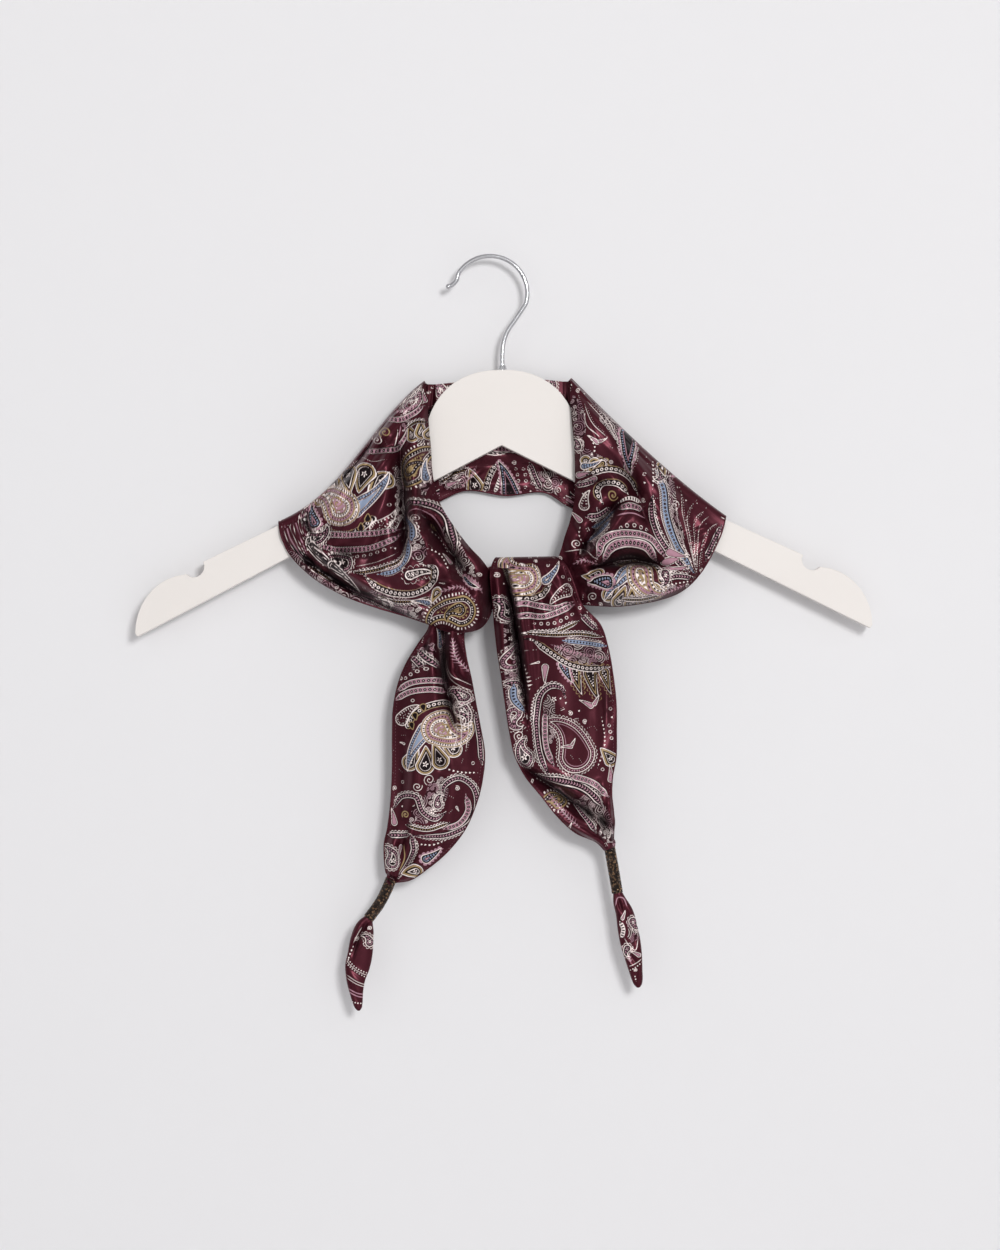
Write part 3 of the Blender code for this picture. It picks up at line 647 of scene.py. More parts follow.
lineBook = {
    "beadBand": (("line", "dark", 0, 4.4, 0), ("line", "pink", 0, 2.3, 0), ("line", "cream", 1.5, 0.5, 0),
                 ("line", "cream", -1.5, 0.5, 0), ("dots", "dark", 0, 1.6, 2.2), ("dots", "cream", 0, 0.6, 2.2)),
    "laceBand": (("line", "dark", 0, 4.4, 0), ("scallops", "cream", 1.7, 0.9, 1.9), ("line", "cream", 1.4, 0.5, 0),
                 ("line", "cream", -1.4, 0.5, 0), ("leaves", "pink", 0, 1.9, 1.7)),
    "ladder": (("line", "cream", 0, 2.6, 0), ("ticks", "dark", 0, 1.7, 1.6)),
    "blueBand": (("line", "cream", 0, 3.8, 0), ("line", "dark", 0, 2.8, 0), ("line", "blue", 0, 2.1, 0),
                 ("dots", "dark", 0, 1.1, 1.9), ("scallops", "cream", 1.9, 0.9, 1.9)),
    "wideBlueBand": (("scallops", "cream", 2.9, 0.9, 1.9), ("line", "dark", 0, 6.2, 0), ("line", "cream", 2.6, 0.5, 0),
                     ("line", "cream", -2.6, 0.5, 0), ("line", "blue", 0, 3.0, 0), ("line", "cream", -1.7, 0.4, 0),
                     ("dots", "dark", 0, 1.6, 2.2), ("dots", "cream", 0, 0.6, 2.2)),
    "creamBand": (("line", "dark", 0, 3.4, 0), ("scallops", "cream", 0.9, 1.0, 2.1), ("line", "cream", 0.7, 0.5, 0),
                  ("dots", "gold", -0.3, 0.7, 1.4), ("line", "cream", -1.2, 0.5, 0)),
    "ringBand": (("line", "cream", 0, 4.2, 0), ("line", "gold", 1.8, 0.4, 0), ("line", "dark", 0, 3.0, 0),
                 ("dots", "cream", 0, 2.0, 2.6), ("dots", "dark", 0, 0.9, 2.6)),
    "ringRow": (("rings", "cream", 0, 1.7, 3.8),),
    "feather": (("line", "cream", 0, 0.45, 0), ("dots", "cream", 1.1, 0.6, 1.5)),
    "plainLine": (("line", "cream", 0, 0.5, 0),),
    "pinkLine": (("line", "pink", 0, 0.65, 0),),
    "goldLine": (("line", "gold", 0, 0.65, 0),),
    "curl": (("line", "cream", 0, 0.5, 0),),
    "goldCurl": (("line", "gold", 0, 0.65, 0),),
    "leafRow": (("line", "cream", 0, 0.4, 0), ("leaves", "pink", 0, 3.0, 2.0)),
    "dashRow": (("leaves", "cream", 0, 1.3, 2.4),),
    "dotRow": (("dots", "cream", 0, 0.9, 1.7),),
    # painted shade: a wide band of the dark ink, laid where the hem turns under
    "nightBand": (("line", "dark", 0, 5.5, 0),),
    "lace": (("line", "lace", 0, 13.0, 0),),
    "narrowLace": (("line", "lace", 0, 7.0, 0),),
}


def turned(points, place, turn, flip):
    points = np.asarray(points, float) * (-1 if flip else 1, 1)
    c, s = cos(radians(turn)), sin(radians(turn))
    return points @ np.array(((c, s), (-s, c))) + place


def drawMotif(cloth, kind, x, z, size, turn=0, flip=False):
    place = np.array((x, z), float)
    chosen = np.nonzero(np.hypot(*(cloth["places"] - place).T) < size * 1.35 + 4)[0]
    if not len(chosen):
        return
    near = cloth["places"][chosen]
    if kind in ("curl", "goldCurl"):
        path = turned(spiralPath(size, 1.6), place, turn, flip)
        beside, along, _ = besidePath(near, path)
        layCourses(cloth, chosen, beside, along, lineBook[kind])
        return
    if kind == "crescent":
        bow = [(cos(a) * size * 0.43, sin(a) * size * 0.39) for a in np.linspace(-2.9, -0.5, 22)]
        beside, along, _ = besidePath(near, turned(bow, place, turn, flip))
        layCourses(cloth, chosen, beside, along, lineBook["ringBand"])
        return
    if kind == "floret":
        out = near - place
        angle = np.arctan2(out[:, 1], out[:, 0]) + radians(turn)
        radius = np.hypot(*out.T)
        layInk(cloth, chosen, "cream", size * (0.62 + 0.38 * np.cos(5 * angle)) - radius)
        layInk(cloth, chosen, "dark", size * 0.22 - radius)
        return
    motif = motifBook[kind]
    if "courses" in motif:
        outline = turned(paisleyOutline(size, motif["hook"], motif["fat"]), place, turn, flip)
        closed = np.vstack((outline, outline[:1]))
        beside, along, _ = besidePath(near, closed)
        beside = np.where(insideOf(near, outline), -np.abs(beside), np.abs(beside))
        layCourses(cloth, chosen, beside, along, motif["courses"])
    for part, partX, partZ, share, partTurn, partFlip in motif["parts"]:
        spot = turned([(partX * size, partZ * size)], place, turn, flip)[0]
        around = -partTurn if flip else partTurn
        drawMotif(cloth, part, *spot, share * size, turn + around, flip != partFlip)


def drawLine(cloth, kind, *points):
    path = smoothPath(points, 1.5)
    low, high = path.min(axis=0) - 7, path.max(axis=0) + 7
    chosen = np.nonzero(np.all((cloth["places"] > low) & (cloth["places"] < high), axis=1))[0]
    if not len(chosen):
        return
    beside, along, total = besidePath(cloth["places"][chosen], path)
    taper = np.clip(np.sin(pi * np.clip(along / total, 0, 1)) * 2.2, 0.22, 1) ** 0.8
    layCourses(cloth, chosen, beside / taper, along, lineBook[kind])


def drawPrint(cloth, marks):
    for kind, *numbers in marks:
        draw = drawLine if isinstance(numbers[0], tuple) else drawMotif
        draw(cloth, kind, *numbers)


def drawFillers(cloth, spacing, room):
    # Rings, curls, dots and dashes wherever a patch of plain cloth is left
    places = cloth["places"]
    low, high = places.min(axis=0), places.max(axis=0)
    kinds = ("dots", "curl", "dash", "ring", "dots", "sprig", "dash", "ring", "dots", "petal")
    count = 0
    for x in np.arange(low[0], high[0], spacing):
        for z in np.arange(low[1], high[1], spacing):
            spot = np.array((x, z)) + soft.uniform(-0.45, 0.45, 2) * spacing
            away = np.hypot(*(places - spot).T)
            nearest = int(np.argmin(away))
            if away[nearest] > 1.2 or max(f[nearest] for f in cloth["inks"].values()) > -room:
                continue
            kind = kinds[count % len(kinds)]
            turn = soft.uniform(0, 360)
            count += 1
            if kind == "dots":
                for step in (-1.2, 0, 1.2):
                    chosen = np.nonzero(away < 5)[0]
                    dot = spot + step * np.array((cos(turn), sin(turn)))
                    layInk(cloth, chosen, "cream", 0.26 - np.hypot(*(places[chosen] - dot).T))
            elif kind == "ring":
                chosen = np.nonzero(away < 4)[0]
                layInk(cloth, chosen, "cream", 0.22 - np.abs(away[chosen] - 0.85))
            elif kind in ("dash", "sprig"):
                line = {"dash": "dashRow", "sprig": "feather"}[kind]
                drawLine(cloth, line, spot, spot + 3.0 * np.array((cos(turn), sin(turn))))
            else:
                drawMotif(cloth, kind, *spot, {"curl": 1.5, "petal": 2.8}[kind], turn)


# Cloth. A rib is a row of the table: its neck end and hem end (x, z and depth y), how far it bows
# in its own plane and puffs towards the viewer at one and two thirds, and how far its hem curls back.

def smoothRibs(table, spacing, backSpacing=None, frontFrom=0):
    rows = np.array([row[1:] for row in table], float)
    moves = np.linalg.norm(np.diff(rows[:, :6], axis=0), axis=1)
    keys = np.concatenate(([0.0], np.cumsum(moves)))
    slopes = np.gradient(rows, keys, axis=0)
    out, starts = [], []
    for i, gap in enumerate(moves):
        wide = max(np.linalg.norm(rows[i + 1, :3] - rows[i, :3]), np.linalg.norm(rows[i + 1, 3:6] - rows[i, 3:6]))
        pitch = backSpacing if backSpacing and i < frontFrom else spacing
        steps = max(2, int(np.ceil(wide / pitch)))
        starts.append(len(out))
        for t in np.arange(steps) / steps:
            start = (2 * t**3 - 3 * t**2 + 1) * rows[i] + (t**3 - 2 * t**2 + t) * gap * slopes[i]
            end = (3 * t**2 - 2 * t**3) * rows[i + 1] + (t**3 - t**2) * gap * slopes[i + 1]
            out.append(start + end)
    return np.array(out + [rows[-1]]), starts + [len(out)]


def ribPlaces(ribs, columns, curlReach=9.0):
    neck, hem = ribs[:, [0, 2, 1]], ribs[:, [3, 5, 4]]
    v = np.linspace(0, 1, columns)
    nearNeck, nearHem = 6.75 * v * (1 - v) ** 2, 6.75 * v**2 * (1 - v)
    length = np.hypot(hem[:, 0] - neck[:, 0], hem[:, 2] - neck[:, 2])[:, None]
    aside = np.stack((hem[:, 2] - neck[:, 2], neck[:, 0] - hem[:, 0]), axis=1) / length
    aside[aside[:, 1] < 0] *= -1
    places = neck[:, None] + v[None, :, None] * (hem - neck)[:, None]
    places[..., 1] = neck[:, 1:2] + (hem - neck)[:, 1:2] * (1 - (1 - v) ** 3)
    bow = ribs[:, 6:7] * nearNeck + ribs[:, 7:8] * nearHem
    places[..., 0] += bow * aside[:, 0:1]
    places[..., 2] += bow * aside[:, 1:2]
    places[..., 1] -= ribs[:, 8:9] * nearNeck + ribs[:, 9:10] * nearHem
    places[..., 1] -= ribs[:, 10:11] * np.clip(1 - (1 - v) * length / curlReach, 0, 1) ** 2
    return places


def layFlat(places, foldRow, anchorRow):
    # Where each point is on the cloth laid flat: the front as seen, and what is behind a fold beyond it
    flat = places[..., [0, 2]].copy()
    if foldRow is None:
        return flat
    start, end = flat[foldRow, 0].copy(), flat[foldRow, -1].copy()
    way = (end - start) / np.linalg.norm(end - start)
    up = np.array((-way[1], way[0]))
    if up[1] < 0:
        up = -up
    below = np.minimum((flat[:foldRow] - start) @ up, 0)
    seenMove = np.linalg.norm(np.diff(flat, axis=0), axis=2)
    flat[:foldRow] -= 2 * below[..., None] * up
    move = np.linalg.norm(np.diff(places, axis=0), axis=2)
    hidden = (move - seenMove)[:anchorRow][::-1].cumsum(axis=0)[::-1]
    flat[:anchorRow] += hidden[..., None] * up
    return flat


def pressCreases(places, flat, creases, first, last, sign):
    # Raises a ridge, or sinks a valley with rolled shoulders, along each line, and takes up cloth across it
    part = places[first:last]
    spots = part[..., [0, 2]].reshape(-1, 2).copy()
    shape = part.shape[:2]
    for _name, x0, z0, x1, z1, bend, height, leftWidth, rightWidth in creases:
        start, end = np.array((x0, z0), float), np.array((x1, z1), float)
        way = end - start
        left = np.array((-way[1], way[0])) / np.linalg.norm(way)
        t = np.linspace(0, 1, 16)[:, None]
        line = start + way * t + left * bend * 4 * t * (1 - t)
        beside, along, total = besidePath(spots, line)
        strength = np.sin(pi * np.clip(along / total, 0.03, 0.97)) ** 0.7
        width = np.where(beside > 0, leftWidth, rightWidth) * (0.6 + 0.4 * strength)
        across = beside / width
        rise = np.exp(-(across**2))
        if height < 0:
            rise -= 0.30 * np.exp(-(((np.abs(across) - 2.1) / 0.9) ** 2))
        part[..., 1] -= sign * (height * strength * rise).reshape(shape)
        takenUp = 0.32 * height**2 / (leftWidth + rightWidth)
        shift = takenUp * strength * np.tanh(across) * np.exp(-((across / 3.5) ** 2))
        flat[first:last] += shift.reshape(shape)[..., None] * left


def fanCreases(fans):
    # Small creases that spread from a gathering place: x, z, from and to an angle, count, reach, height
    creases = []
    for x, z, start, end, count, reach, height in fans:
        for i in range(count):
            angle = radians(start + (end - start) * (i + soft.uniform(0.25, 0.75)) / count)
            near, far = soft.uniform(0.02, 0.22) * reach, soft.uniform(0.6, 1.0) * reach
            rise = height * soft.uniform(0.6, 1.1) * (-1 if i % 2 else 1)
            width = soft.uniform(0.9, 1.6) * (0.7 + reach / 60)
            creases.append(("fan", x + near * cos(angle), z + near * sin(angle), x + far * cos(angle),
                            z + far * sin(angle), soft.uniform(-0.05, 0.05) * reach, rise, width, width))
    return creases


def addWrinkles(places, first, last, amount, sign, lengthwise=False, waves=9):
    # Soft creases, each with its own length and place; they run along the ribs, or across them on the tails
    part = places[first:last]
    rows, columns = part.shape[:2]
    travelled = np.concatenate(([0], np.cumsum(np.linalg.norm(np.diff(part[:, -1], axis=0), axis=1))))
    across, run = travelled[:, None], np.linspace(0, 1, columns)[None, :]
    if lengthwise:
        across, run = run * 45, across / travelled[-1]
    total = np.zeros((rows, columns))
    for _ in range(waves):
        length = soft.uniform(7, 26)
        lean = soft.uniform(-9, 9)
        peak, reach = soft.uniform(0.1, 0.9), soft.uniform(0.15, 0.5)
        phase = (across + lean * run) / length * 2 * pi + soft.uniform(0, 2 * pi)
        total += np.sin(phase) * np.exp(-(((run - peak) / reach) ** 2)) * length / 16
    part[..., 1] -= sign * amount * total * np.sin(pi * np.clip(run, 0.02, 0.98)) ** 0.5


def softened(field, reach):
    # The field averaged over its neighbours, twice along each direction of the grid
    for axis in (0, 0, 1, 1):
        field = np.moveaxis(field, axis, 0)
        sums = np.cumsum(np.pad(field, ((reach + 1, reach), (0, 0)), mode="edge"), axis=0)
        field = np.moveaxis((sums[2 * reach + 1:] - sums[:-2 * reach - 1]) / (2 * reach + 1), 0, axis)
    return field


def keepPaintedShade(mesh, shadeAmount):
    # Painted shade: how far each point lies in a hollow, which darkens the satin's base colour
    hollowShade = mesh.attributes.new("hollowShade", "FLOAT", "POINT")
    hollowShade.data.foreach_set("value", shadeAmount.astype(np.float32))


def layPlan(mesh, flat):
    # A UV map in metres on the cloth as it lies flat, which the fine lace is laid out on
    plan = mesh.uv_layers.new(name="clothPlan")
    corners = np.zeros(len(mesh.loops), np.int32)
    mesh.loops.foreach_get("vertex_index", corners)
    plan.data.foreach_set("uv", (flat[corners] * mm).astype(np.float32).ravel())


def shellOf(places, front, thickness):
    # A closed shell about the grid of places: a fine side towards the viewer, a coarser one behind it
    rows, columns = places.shape[:2]
    normals = np.cross(np.gradient(places, axis=1), np.gradient(places, axis=0))
    normals /= np.linalg.norm(normals, axis=2)[..., None] + 1e-9
    turned = normals[front:, :, 1].mean() > 0
    normals *= -1 if turned else 1
    keptRows = np.unique(np.r_[0:rows:2, rows - 1])
    keptColumns = np.unique(np.r_[0:columns:2, columns - 1])
    outer = np.arange(rows * columns).reshape(rows, columns)
    inner = outer.size + np.arange(len(keptRows) * len(keptColumns)).reshape(len(keptRows), len(keptColumns))
    spots = np.vstack(((places + normals * thickness / 2).reshape(-1, 3),
                       (places - normals * thickness / 2)[np.ix_(keptRows, keptColumns)].reshape(-1, 3)))
    source = np.concatenate((outer.ravel(), outer[np.ix_(keptRows, keptColumns)].ravel()))
    faces = []
    for grid, reverse in ((outer, False), (inner, True)):
        quads = np.stack((grid[:-1, :-1], grid[:-1, 1:], grid[1:, 1:], grid[1:, :-1]), axis=-1).reshape(-1, 4)
        faces += (quads[:, ::-1] if reverse != turned else quads).tolist()
    for edge, kept, seam, ahead in (
        (outer[:, 0], keptRows, inner[:, 0], True), (outer[:, -1], keptRows, inner[:, -1], False),
        (outer[0], keptColumns, inner[0], False), (outer[-1], keptColumns, inner[-1], True),
    ):
        for i, (start, end) in enumerate(zip(kept, kept[1:])):
            face = [*edge[start:end + 1], seam[i + 1], seam[i]]
            faces.append(face if ahead != turned else face[::-1])
    return spots, faces, source


def sewCloth(cloth, thickness=0.9):
    # Builds one sheet from its dictionary: ribs, creases, print and a wall
    frontFrom = cloth.get("frontFrom", 0)
    ribs, starts = smoothRibs(cloth["ribs"], cloth["spacing"], cloth.get("backSpacing"), frontFrom)
    places = ribPlaces(ribs, cloth["columns"])
    foldRib = cloth.get("foldRib")
    foldRow = None if foldRib is None else starts[foldRib]
    front = starts[frontFrom]
    flat = layFlat(places, foldRow, None if foldRib is None else front)
    creases = [*cloth["creases"], *fanCreases(cloth["fans"])]
    pressCreases(places, flat, creases, front, len(places), 1)
    addWrinkles(places, front, len(places), cloth["wrinkles"], 1, cloth.get("lengthwise", False))
    if foldRib is not None and cloth.get("backCreases"):
        pressCreases(places, flat, cloth["backCreases"], 0, starts[foldRib - 1], -1)
        addWrinkles(places, 0, starts[foldRib - 1], cloth["wrinkles"], -1)
    spots, faces, source = shellOf(places, front, thickness)
    mesh = meshOf(cloth["name"], spots, faces)
    # Painted shade: a point lying deeper than the average of its neighbours is darkened, the more the deeper
    depth = places[front:, :, 1]
    shadeAmount = np.zeros(places.shape[:2])
    shadeAmount[front:] = np.clip((depth - softened(depth, cloth["paintedShadeReach"])) / cloth["paintedShadeDepth"] - 0.12, 0, 1)
    keepPaintedShade(mesh, shadeAmount.ravel()[source])
    flat = flat.reshape(-1, 2)
    ink = newPrint(flat)
    drawPrint(ink, cloth["print"])
    drawFillers(ink, 6.0, 2.1)
    for field in ink["inks"]:
        ink["inks"][field] = ink["inks"][field][source]
    writePrint(mesh, ink)
    layPlan(mesh, flat[source])
    mesh.shade_smooth()
    mesh.set_sharp_from_angle(angle=radians(60))
    piece = addPiece(cloth["name"], mesh, printedSatin, cloth["nodes"])
    area = sum(p.area for p in mesh.polygons) / 2
    triangles = sum(len(p.vertices) - 2 for p in mesh.polygons)
    print(cloth["name"], triangles, "triangles,", round(area * 1e6), "square mm")
    return piece, places


leftWing = {
    "name": "left_wing_cloth",
    "nodes": ["scarf_left_wing"],
    "paintedShadeReach": 13, "paintedShadeDepth": 3.6,  # painted shade in the hollows: grid steps, millimetres
    "spacing": 0.56, "backSpacing": 1.8, "columns": 187, "wrinkles": 0.42,
    "foldRib": 6, "frontFrom": 8,
    "ribs": (
        ("back seam", -32.8, -75, 8.3, -30.3, -145, 8.3, 0, 0, 0, 0, 0),
        ("back low", -36.5, -75, 7.4, -54, -158, 9.5, 0, 0, 0, 0, 0),
        ("back middle", -38, -75, 5.5, -84, -172, 10, 0, 0, 0, 0, 0),
        ("back outer", -38.5, -74.5, 3.8, -112, -177, 9.5, 1, -2, 0, 0, 0),
        ("back end", -39, -74.5, 2.8, -124, -166, 8.4, 2, -5, 0, 0, 0),
        ("arm back edge", -39, -74, 1.6, -126, -159.3, 6.9, 2, -7, 0, 0, 0),
        ("arm top", -39.5, -74, 0, -126.2, -158, 0, 2, -7, 0, 0, 0),
        ("arm front edge", -39, -74, -1.6, -126, -159.3, -6.9, 2, -7, 0, 0, 0),
        ("front end", -39, -75, -3.4, -125, -165, -8.6, 1.8, -6, 3, 1, 0),
        ("front outer", -38.5, -78, -5.5, -121, -175, -11, 2, -4, 5, 4, -3),
        ("shoulder", -37.5, -85, -7.8, -108.5, -189, -13, 1.5, -3, 6, 7, -5),
        ("breast", -37, -97, -9, -89.5, -201, -14, 1, -2, 5, 9, -6),
        ("breast middle", -35.5, -114.5, -9.5, -69, -209, -15, 0, -1, 4, 9, -6),
        ("breast inner", -34, -133, -10, -49, -215, -16, 0, 0, 3, 8, -5),
        ("neck low", -30, -147.5, -11.5, -36, -219.5, -17, -1, 0, 3, 6, -4),
        ("band outer", -22, -161, -13, -25, -223.5, -17.5, -1, 0, 4, 6, -3),
        ("band", -13, -173, -14, -14.5, -224, -17.5, 0, 0, 5, 7, -3),
        ("band end", -5.5, -181, -14.5, -5, -221, -15.5, 0, 0, 5, 6, -2),
        ("turn", -1.5, -186, -12.8, -0.5, -215, -12.8, 0, 0, 1, 1, 0),
        ("tuck", 1, -189, -11.4, 1, -211, -11.4, 0, 0, 0, 0, 0),
    ),
    # From x, z to x, z, a bend to the left on the way, a height, and the half width to each side
    "creases": (
        ("neck roll", -42, -84, -42, -162, -2, 5.4, 5.6, 6.5),
        ("valley by the roll", -53.5, -116, -52, -184, 2, -11.5, 3.4, 5.0),
        ("above the valley", -47, -88, -56, -134, 0, -3.6, 3.4, 5),
        ("valley to the knot", -44, -150, -12, -200, 3, -10.5, 3.2, 4.6),
        ("ridge between them", -50, -140, -30, -196, 2, 4.4, 4.2, 4.2),
        ("under the edge", -121, -171, -40, -217, -5, -7.0, 4.4, 2.6),
        ("edge over the hem", -114, -160, -60, -204, -3, 5.0, 2.4, 4.6),
        ("cheek", -32, -196, -4, -206, 0, 4.6, 9, 8),
        ("above the cheek", -30, -172, -4, -194, 0, -5.0, 4, 4),
        ("beside the bulge", -113, -148, -105, -180, 1, -6.0, 2.4, 4.4),
        ("bulge", -98, -138, -68, -172, 0, 6.0, 15, 12),
        ("below the bulge", -100, -176, -60, -178, -2, -3.0, 4, 5),
        ("outer pleat", -121, -156, -95, -192, -1, 2.6, 1.6, 1.6),
        ("middle pleat", -117.5, -153, -89, -192, -1, 2.8, 1.7, 1.5),
        ("inner pleat", -113, -150, -82, -191, -1, 2.4, 1.5, 1.5),
        ("across the shoulder", -88, -122, -50, -113, 2, -3.0, 3.4, 5),
        ("ridge at the shoulder", -78, -112, -50, -102, 1, 2.2, 4, 4),
        ("hollow at the shoulder", -62, -92, -100, -142, 0, -3.0, 7, 8),
        ("small fold at the corner", -40, -78, -60, -104, 1, 1.8, 2, 3),
        ("second small fold", -39, -84, -50, -112, 1, -1.8, 2, 2.4),
        ("pucker", -66, -184, -38, -200, 1, 2.4, 2.6, 4),
        ("lower pucker", -56, -202, -14, -213, -2, -2.6, 2.6, 3.2),
        ("long fold", -72, -108, -64, -160, -3, 2.0, 5, 5),
    ),
    "fans": (
        (-2, -199, 118, 196, 11, 44, 1.5), (-32, -152, 150, 250, 6, 26, 1.0), (-38, -76, 205, 262, 7, 40, 1.1),
        (-122, -160, -62, -30, 5, 42, 0.9), (-6, -206, 170, 215, 5, 34, 1.0),
    ),
    "backCreases": (
        ("back ridge", -44, -90, -92, -168, 3, 1.4, 8, 8),
        ("back valley", -42, -100, -66, -160, 2, -1.0, 5, 5),
        ("back end", -60, -96, -114, -166, -2, 1.0, 4, 5),
    ),
    "print": (
        ("narrowLace", (-41, -77), (-48, -88), (-52, -104)), ("narrowLace", (-41, -98), (-38, -120), (-37, -142)),
        # painted shade: a dark band along the turned-under hem
        ("nightBand", (-119, -173), (-106, -186.5), (-86, -198), (-62, -205.5)),
        ("narrowLace", (-122, -176), (-109, -191), (-89, -203)), ("narrowLace", (-89, -203), (-69, -211), (-42, -217)),
        ("lace", (-76, -202), (-58, -208), (-40, -212)),
        ("narrowLace", (-24, -160), (-15, -176), (-8, -190)),
        ("lace", (-104, -146), (-92, -136), (-78, -128)), ("narrowLace", (-58, -126), (-56, -144), (-58, -158)),
        ("narrowLace", (-48, -160), (-44, -172), (-42, -184)), ("narrowLace", (-74, -94), (-60, -88), (-50, -82)),
        ("lacePaisley", -48, -88.5, 14, -66, False), ("feather", (-40, -76), (-47, -83), (-55, -91)),
        ("feather", (-41, -75.5), (-44, -84), (-43.5, -92)), ("petal", -38.5, -86, 7, 20, False),
        ("beadBand", (-64, -96), (-56, -98), (-48, -95.5), (-39, -89.5)), ("leafRow", (-58, -93), (-50, -92), (-44, -89)),
        ("goldCurl", -63, -105.5, 3.4, 20), ("curl", -67.5, -110, 2.6, 200), ("curl", -69, -102.5, 2.0, 80),
        ("plainLine", (-56, -101), (-56.4, -107), (-58.5, -114)), ("pinkLine", (-54, -101), (-54.6, -107), (-56.4, -113)),
        ("beadBand", (-78, -116.8), (-67, -117), (-56, -115), (-49.5, -106), (-47.6, -98.5)),
        ("plainLine", (-84, -124), (-77, -120.4), (-70, -123.5), (-62, -122)), ("ringRow", (-80, -121), (-86, -127), (-94, -133)),
        ("eyeLobe", -45.5, -108, 7.5, 26), ("eyeLobe", -40.5, -106, 7.5, 0), ("eyeLobe", -36.5, -106.5, 6.5, -24),
        ("creamBand", (-50, -102.5), (-44, -99.5), (-37, -99)),
        ("goldPaisley", -45.2, -129.5, 24, -18, True), ("spear", -36.8, -132.5, 12, 14, True),
        ("palmette", -87.5, -149, 44, 0, False), ("flameLeaf", -103, -159, 13, 24, True),
        ("curl", -59, -143.4, 1.6, 60), ("curl", -59.2, -148.4, 1.6, 80), ("curl", -59.6, -153.4, 1.7, 100),
        ("dropLeaf", -68, -162, 13, -52, False), ("dropLeaf", -60.5, -160.5, 8, -40, True),
        ("beadBand", (-107, -164.5), (-90, -166.4), (-74, -166), (-56, -163.5)),
        ("beadBand", (-106, -170.5), (-88, -174.4), (-66, -172.4), (-54, -165)), ("smallLace", -104, -168.4, 13, -82, False),
        ("ringRow", (-84, -179), (-72, -178), (-59, -173.6)), ("smallLace", -85.6, -182.4, 15, 58, False),
        ("creamBand", (-82, -187.6), (-64, -186), (-52, -179.6), (-46, -167)), ("plainLine", (-80, -184.4), (-66, -182.4), (-55, -176)),
        ("blueBand", (-66, -189.4), (-56, -187.6), (-48.4, -180), (-46.4, -170)), ("blueBand", (-50, -155), (-44.6, -162), (-45, -171)),
        ("hornLeaf", -47, -190.5, 13, -70, True),
        ("ringBand", (-74, -188.6), (-66.5, -195.6), (-54, -200.6), (-42, -200), (-34.4, -194.4), (-35, -187.4), (-40.5, -185.6)),
        ("creamBand", (-34, -203), (-44, -205.6), (-56, -205), (-68, -200)), ("eyeLobe", -31.6, -201, 6, 150),
        ("laceBand", (-50.6, -163.5), (-52, -154), (-45, -147.4), (-35, -147.6), (-26, -152.6), (-20.6, -162), (-17.4, -172),
         (-22.6, -177), (-27, -172.6)),
        ("pinkLine", (-46.4, -160), (-46.6, -154.6), (-41, -151.4), (-33, -152.4), (-26.4, -159), (-23, -168)),
        ("curl", -42, -157.4, 2.4, 0), ("goldCurl", -32.6, -161.4, 2.6, 120), ("dashRow", (-38, -164), (-30, -170), (-26, -180)),
        ("smallLace", -16.6, -183, 10, 140, False), ("petal", -26, -184.6, 7, 40, False), ("dashRow", (-40, -176), (-33, -180), (-27, -190)),
        ("goldPaisley", -17.5, -212, 25, 82, False), ("leafRow", (-31, -201), (-19, -198.6), (-8, -205)),
        ("leafRow", (-13, -189), (-8, -194), (-4.6, -201)), ("flameLeaf", -14, -193, 9, -130, False),
        ("spear", -36.6, -206.6, 10, 70, False), ("smallLace", -62, -207.6, 10, 60, False),
        *((("plainLine", "pinkLine")[i % 3 == 1], (-124.8 + 1.7 * i, -160 + 1.1 * i), (-121.2 + 1.4 * i, -170 + 1.2 * i),
           (-112 + 0.6 * i, -184 + 1.2 * i)) for i in range(9)),
        ("longLeaf", -107, -171.5, 33, -137, False), ("longLeaf", -93, -184, 23, -128, True),
        ("creamBand", (-109, -187), (-101, -192), (-94, -197)), ("plainLine", (-91, -199.4), (-80, -203.6), (-70, -207.8)),
        ("leafRow", (-88, -197.4), (-78, -201.6), (-66, -205)), ("plainLine", (-66, -204), (-56, -208.6), (-44, -212)),
        # the back, beyond the fold over the arm
        ("palmette", -112, -106, 40, 150, False), ("goldPaisley", -92, -84, 24, -130, False),
        ("lacePaisley", -136, -128, 26, 60, True), ("beadBand", (-140, -112), (-120, -92), (-98, -78)),
        ("hornLeaf", -70, -60, 34, 40, True), ("lacePaisley", -118, -66, 24, -20, False),
        ("laceBand", (-96, -52), (-78, -40), (-60, -34)), ("palmette", -90, -38, 34, 20, True),
    ),
}

